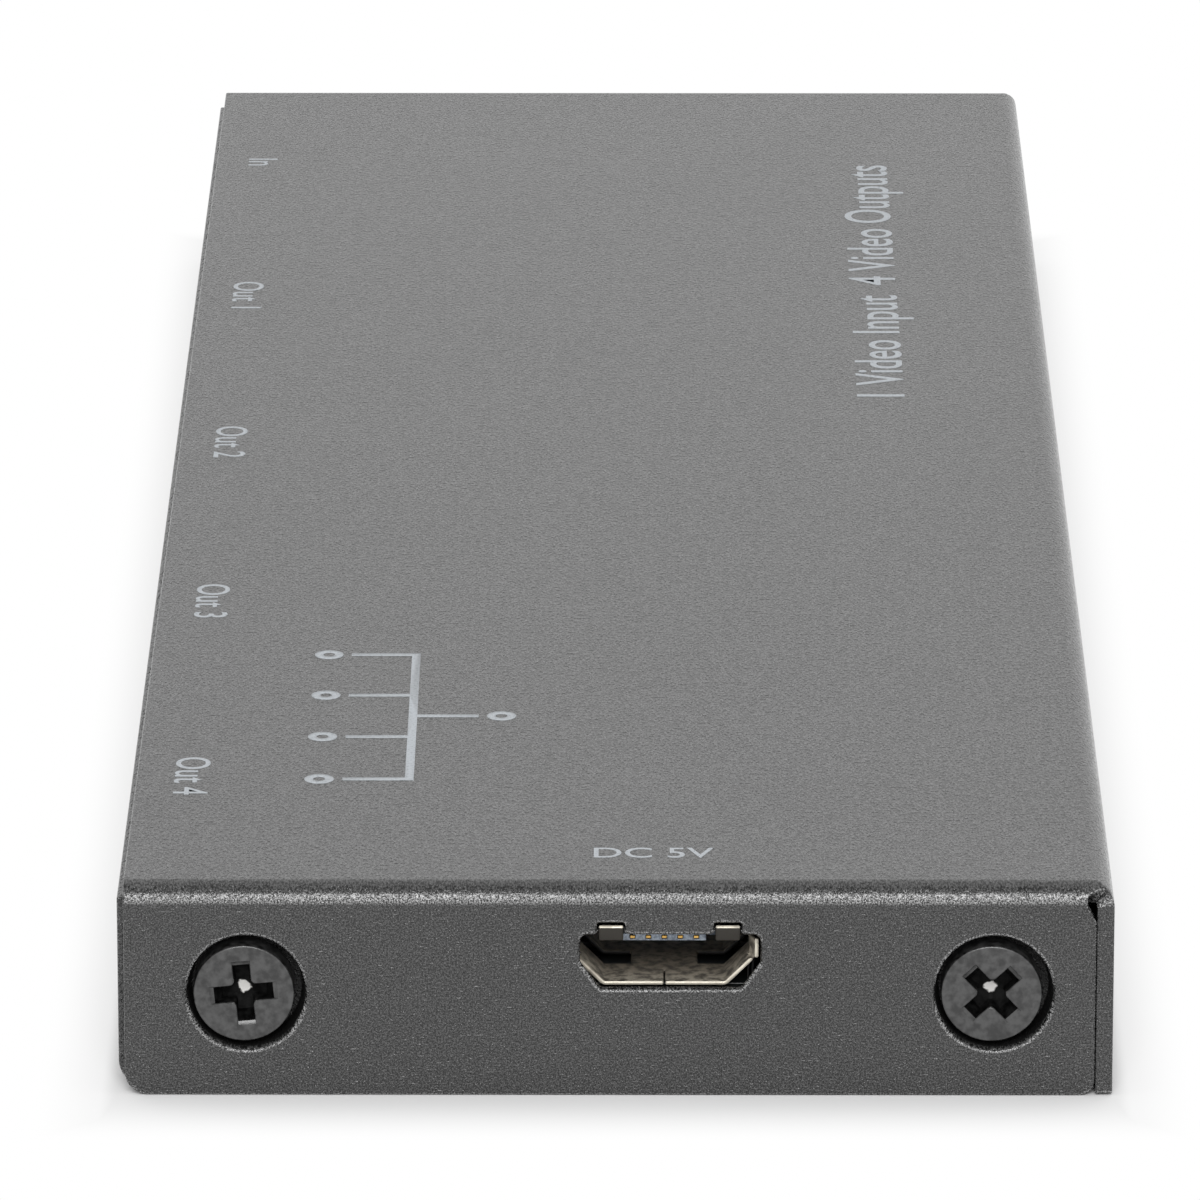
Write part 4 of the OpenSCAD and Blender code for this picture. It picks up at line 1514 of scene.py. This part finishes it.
@dataclass
class Studio:
    """Camera, lamps, world and floor."""

    camera_at: tuple[float, float, float] = (0.499, -495.314, 159.153)
    camera_tilt: float = 72.336
    camera_turn: float = 0.1476
    lens: float = 339.5
    sensor: float = 36.0
    clip: Point = (0.01, 50.0)
    key_distance: float = 1.25
    key_height: float = 36.5
    key_size: tuple[float, float] = (0.62, 0.5)
    key_power: float = 9.2
    overhead: float = 0.32
    overhead_lean: float = 21.5
    overhead_reach: tuple[float, float] = (26.0, 30.0)
    horizon: float = 0.95
    half_case: Point = (20.25, 62.0)
    side_shadow: tuple[float, float] = (0.8, 3.4)
    side_lift: float = 0.55
    front_shadow: float = 5.4
    floor_gap: float = 0.03
    floor_reach: float = 6.0
    floor_colour: Colour = grey(0.8)
    footprint: Point = (-0.95, -1.15)

    def build(self) -> None:
        """Sets up everything around the object."""
        self.add_camera()
        self.add_key()
        self.add_world()
        self.add_floor()
        bpy.context.scene.view_settings.view_transform = "Standard"

    def add_camera(self) -> None:
        """Puts the camera where the photograph was taken from."""
        data = bpy.data.cameras.new("camera")
        data.sensor_width = self.sensor
        data.lens = self.lens
        data.clip_start, data.clip_end = self.clip
        camera = bpy.data.objects.new("camera", data)
        camera.location = Vector(self.camera_at) * MM
        camera.rotation_euler = (math.radians(self.camera_tilt), 0.0, math.radians(self.camera_turn))
        bpy.context.scene.collection.objects.link(camera)
        bpy.context.scene.camera = camera

    def add_key(self) -> None:
        """Hangs one wide soft lamp in front of the power end."""
        data = bpy.data.lights.new("key", "AREA")
        data.shape = "RECTANGLE"
        data.size, data.size_y = self.key_size
        data.energy = self.key_power
        lamp = bpy.data.objects.new("key", data)
        rise = math.radians(self.key_height)
        away = Vector((0.0, -math.cos(rise), math.sin(rise)))
        lamp.location = away * self.key_distance
        lamp.rotation_euler = away.to_track_quat("Z", "Y").to_euler()
        bpy.context.scene.collection.objects.link(lamp)

    def add_world(self) -> None:
        """White surroundings with a darker patch overhead, a little towards the front."""
        world = bpy.data.worlds.new("studio")
        bpy.context.scene.world = world
        tree = ShaderTree(world)
        way = tree.node("ShaderNodeTexCoord", out="Generated")
        lean = math.radians(self.overhead_lean)
        patch = (0.0, -math.sin(lean), math.cos(lean))
        dot = {"operation": "DOT_PRODUCT"}
        near = tree.node("ShaderNodeVectorMath", dot, {0: way, 1: patch}, out="Value")
        inner, outer = (math.cos(math.radians(reach)) for reach in self.overhead_reach)
        sky = self.overhead + near.ramp(inner, outer) * (self.horizon - self.overhead)
        light = tree.node("ShaderNodeBackground", inputs={"Color": grey(1.0), "Strength": sky})
        tree.node("ShaderNodeOutputWorld", inputs={"Surface": light})

    def add_floor(self) -> None:
        """Lays the pale floor that the case stands on, which is clear from beneath."""
        mesh = bmesh.new()
        bmesh.ops.create_grid(mesh, x_segments=1, y_segments=1, size=self.floor_reach)
        floor = mesh_piece("floor", mesh)
        floor.location.z = -self.floor_gap * MM
        material = bpy.data.materials.new("floor_white")
        tree = ShaderTree(material)
        where = tree.place()
        beside = abs(tree.axis(where, "X")) / MM - self.half_case[0]
        ahead = abs(tree.axis(where, "Y")) / MM - self.half_case[1]
        soft, far = self.side_shadow
        # Painted light: the white glow grows with distance from the case and lifts its shadow on the
        # floor, more beside it than ahead of it.
        side = beside.ramp(0.0, soft) * self.side_lift + beside.ramp(0.0, far) * (1.0 - self.side_lift)
        clear = side.larger(ahead.ramp(0.0, self.front_shadow))
        kinds = ("Camera", "Glossy", "Transmission")
        rays = [tree.node("ShaderNodeLightPath", out=f"Is {kind} Ray") for kind in kinds]
        white = sum(rays[1:], rays[0]) * clear
        matt = tree.node("ShaderNodeBsdfDiffuse", inputs={"Color": self.floor_colour})
        plain = tree.node("ShaderNodeEmission", inputs={"Color": grey(1.0)})
        mixed = tree.node("ShaderNodeMixShader", inputs={0: white, 1: matt, 2: plain})
        covered = beside.ramp(*self.footprint) * ahead.ramp(*self.footprint)
        beneath = covered.larger(tree.node("ShaderNodeNewGeometry", out="Backfacing"))
        gone = tree.node("ShaderNodeBsdfTransparent")
        sided = tree.node("ShaderNodeMixShader", inputs={0: beneath, 1: mixed, 2: gone})
        tree.node("ShaderNodeOutputMaterial", inputs={"Surface": sided})
        floor.data.materials.append(material)


def finishes() -> dict[Slot, Finish]:
    """The finish of each slot of the record.

    Returns:
        Finishes by slot.
    """
    return {
        Slot.CASE_PAINT: PowderCoat("powder_coat"),
        Slot.SCREW_STEEL: BlackOxide(
            "black_oxide", grey(0.002), grey(0.042), ior=1.7, roughness=0.26, bare_radius=0.0
        ),
        Slot.SOCKET_TIN: Mottled(
            "tin_plate", (0.66, 0.63, 0.58, 1.0), (0.46, 0.43, 0.38, 1.0),
            patch_size=1.4, roughness=0.3, duller=0.12, depth=0.0015,
            blend=(0.35, 0.7), texture=0.06, rolled=0.15, metallic=1.0,
        ),
        Slot.CONTACT_GOLD: Mottled(
            "gold_flash", (0.82, 0.52, 0.16, 1.0), (0.62, 0.36, 0.1, 1.0),
            patch_size=0.35, roughness=0.22, duller=0.14, depth=0.001,
            texture=0.05, detail=2.0, metallic=1.0,
        ),
        Slot.RESIN_BLACK: Mottled(
            "resin_black", grey(0.012), grey(0.02),
            patch_size=0.6, roughness=0.5, duller=0.15, depth=0.004,
            blend=(0.3, 0.7), texture=0.05, dull_texture=True,
        ),
        Slot.RESIN_GREY: Mottled(
            "resin_grey", (0.2, 0.24, 0.3, 1.0), (0.5, 0.57, 0.66, 1.0),
            patch_size=0.13, roughness=0.4, duller=0.15, depth=0.004,
            blend=(0.3, 0.7), texture=0.05, dull_texture=True,
        ),
        Slot.BOARD: SolderMask("solder_mask"),
        Slot.CERAMIC: Mottled(
            "fired_ceramic", (0.34, 0.22, 0.12, 1.0), (0.46, 0.33, 0.2, 1.0),
            patch_size=0.15, roughness=0.4, duller=0.2, depth=0.004,
        ),
        Slot.PAD: Mottled(
            "silicone_pad", (0.2, 0.29, 0.4, 1.0), (0.34, 0.41, 0.5, 1.0),
            patch_size=0.3, roughness=0.75, duller=0.15, depth=0.02,
            blend=(0.4, 0.7), detail=4.0,
        ),
        Slot.LENS: ClearLens("clear_lens"),
    }


def main() -> None:
    """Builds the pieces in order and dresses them."""
    logging.basicConfig(level=logging.INFO, format="%(name)s: %(message)s")
    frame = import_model()
    materials = {slot: finish.material() for slot, finish in finishes().items()}
    box = CaseBox.read()
    screws, row = ScrewPlan(), SocketRow()

    paint = [materials[Slot.CASE_PAINT]]
    dress(TopCover(box, screws, PowerOpening()).build(), paint, "top_cover")
    LOG.info("cover folded")
    dress(BottomTray(box, screws, row).build(), paint, "bottom_tray")
    LOG.info("tray folded")
    recess = BlackOxide(
        "worn_recess", grey(0.001), grey(0.008), ior=1.15, roughness=0.5, bare_radius=0.29
    )
    steel = [materials[Slot.SCREW_STEEL], recess.material()]
    dress(CaseScrews(box, screws).build(), steel, "case_screws")
    LOG.info("case screws set")
    ink = [PadPrintInk("pad_print_ink").material()]
    for mark in Markings(box, row).build():
        dress(mark, ink)
    LOG.info("marks printed")
    shell = TarnishedShell("tarnished_shell").material()
    kept = KeptSolids(edge=0.03, own_edge=0.07, finishes=materials, own={"power_shell": shell})
    dressed = kept.dress(frame)
    LOG.info("%d solids dressed: %s", len(dressed), ", ".join(dressed))
    Studio().build()


if __name__ == "__main__":
    main()
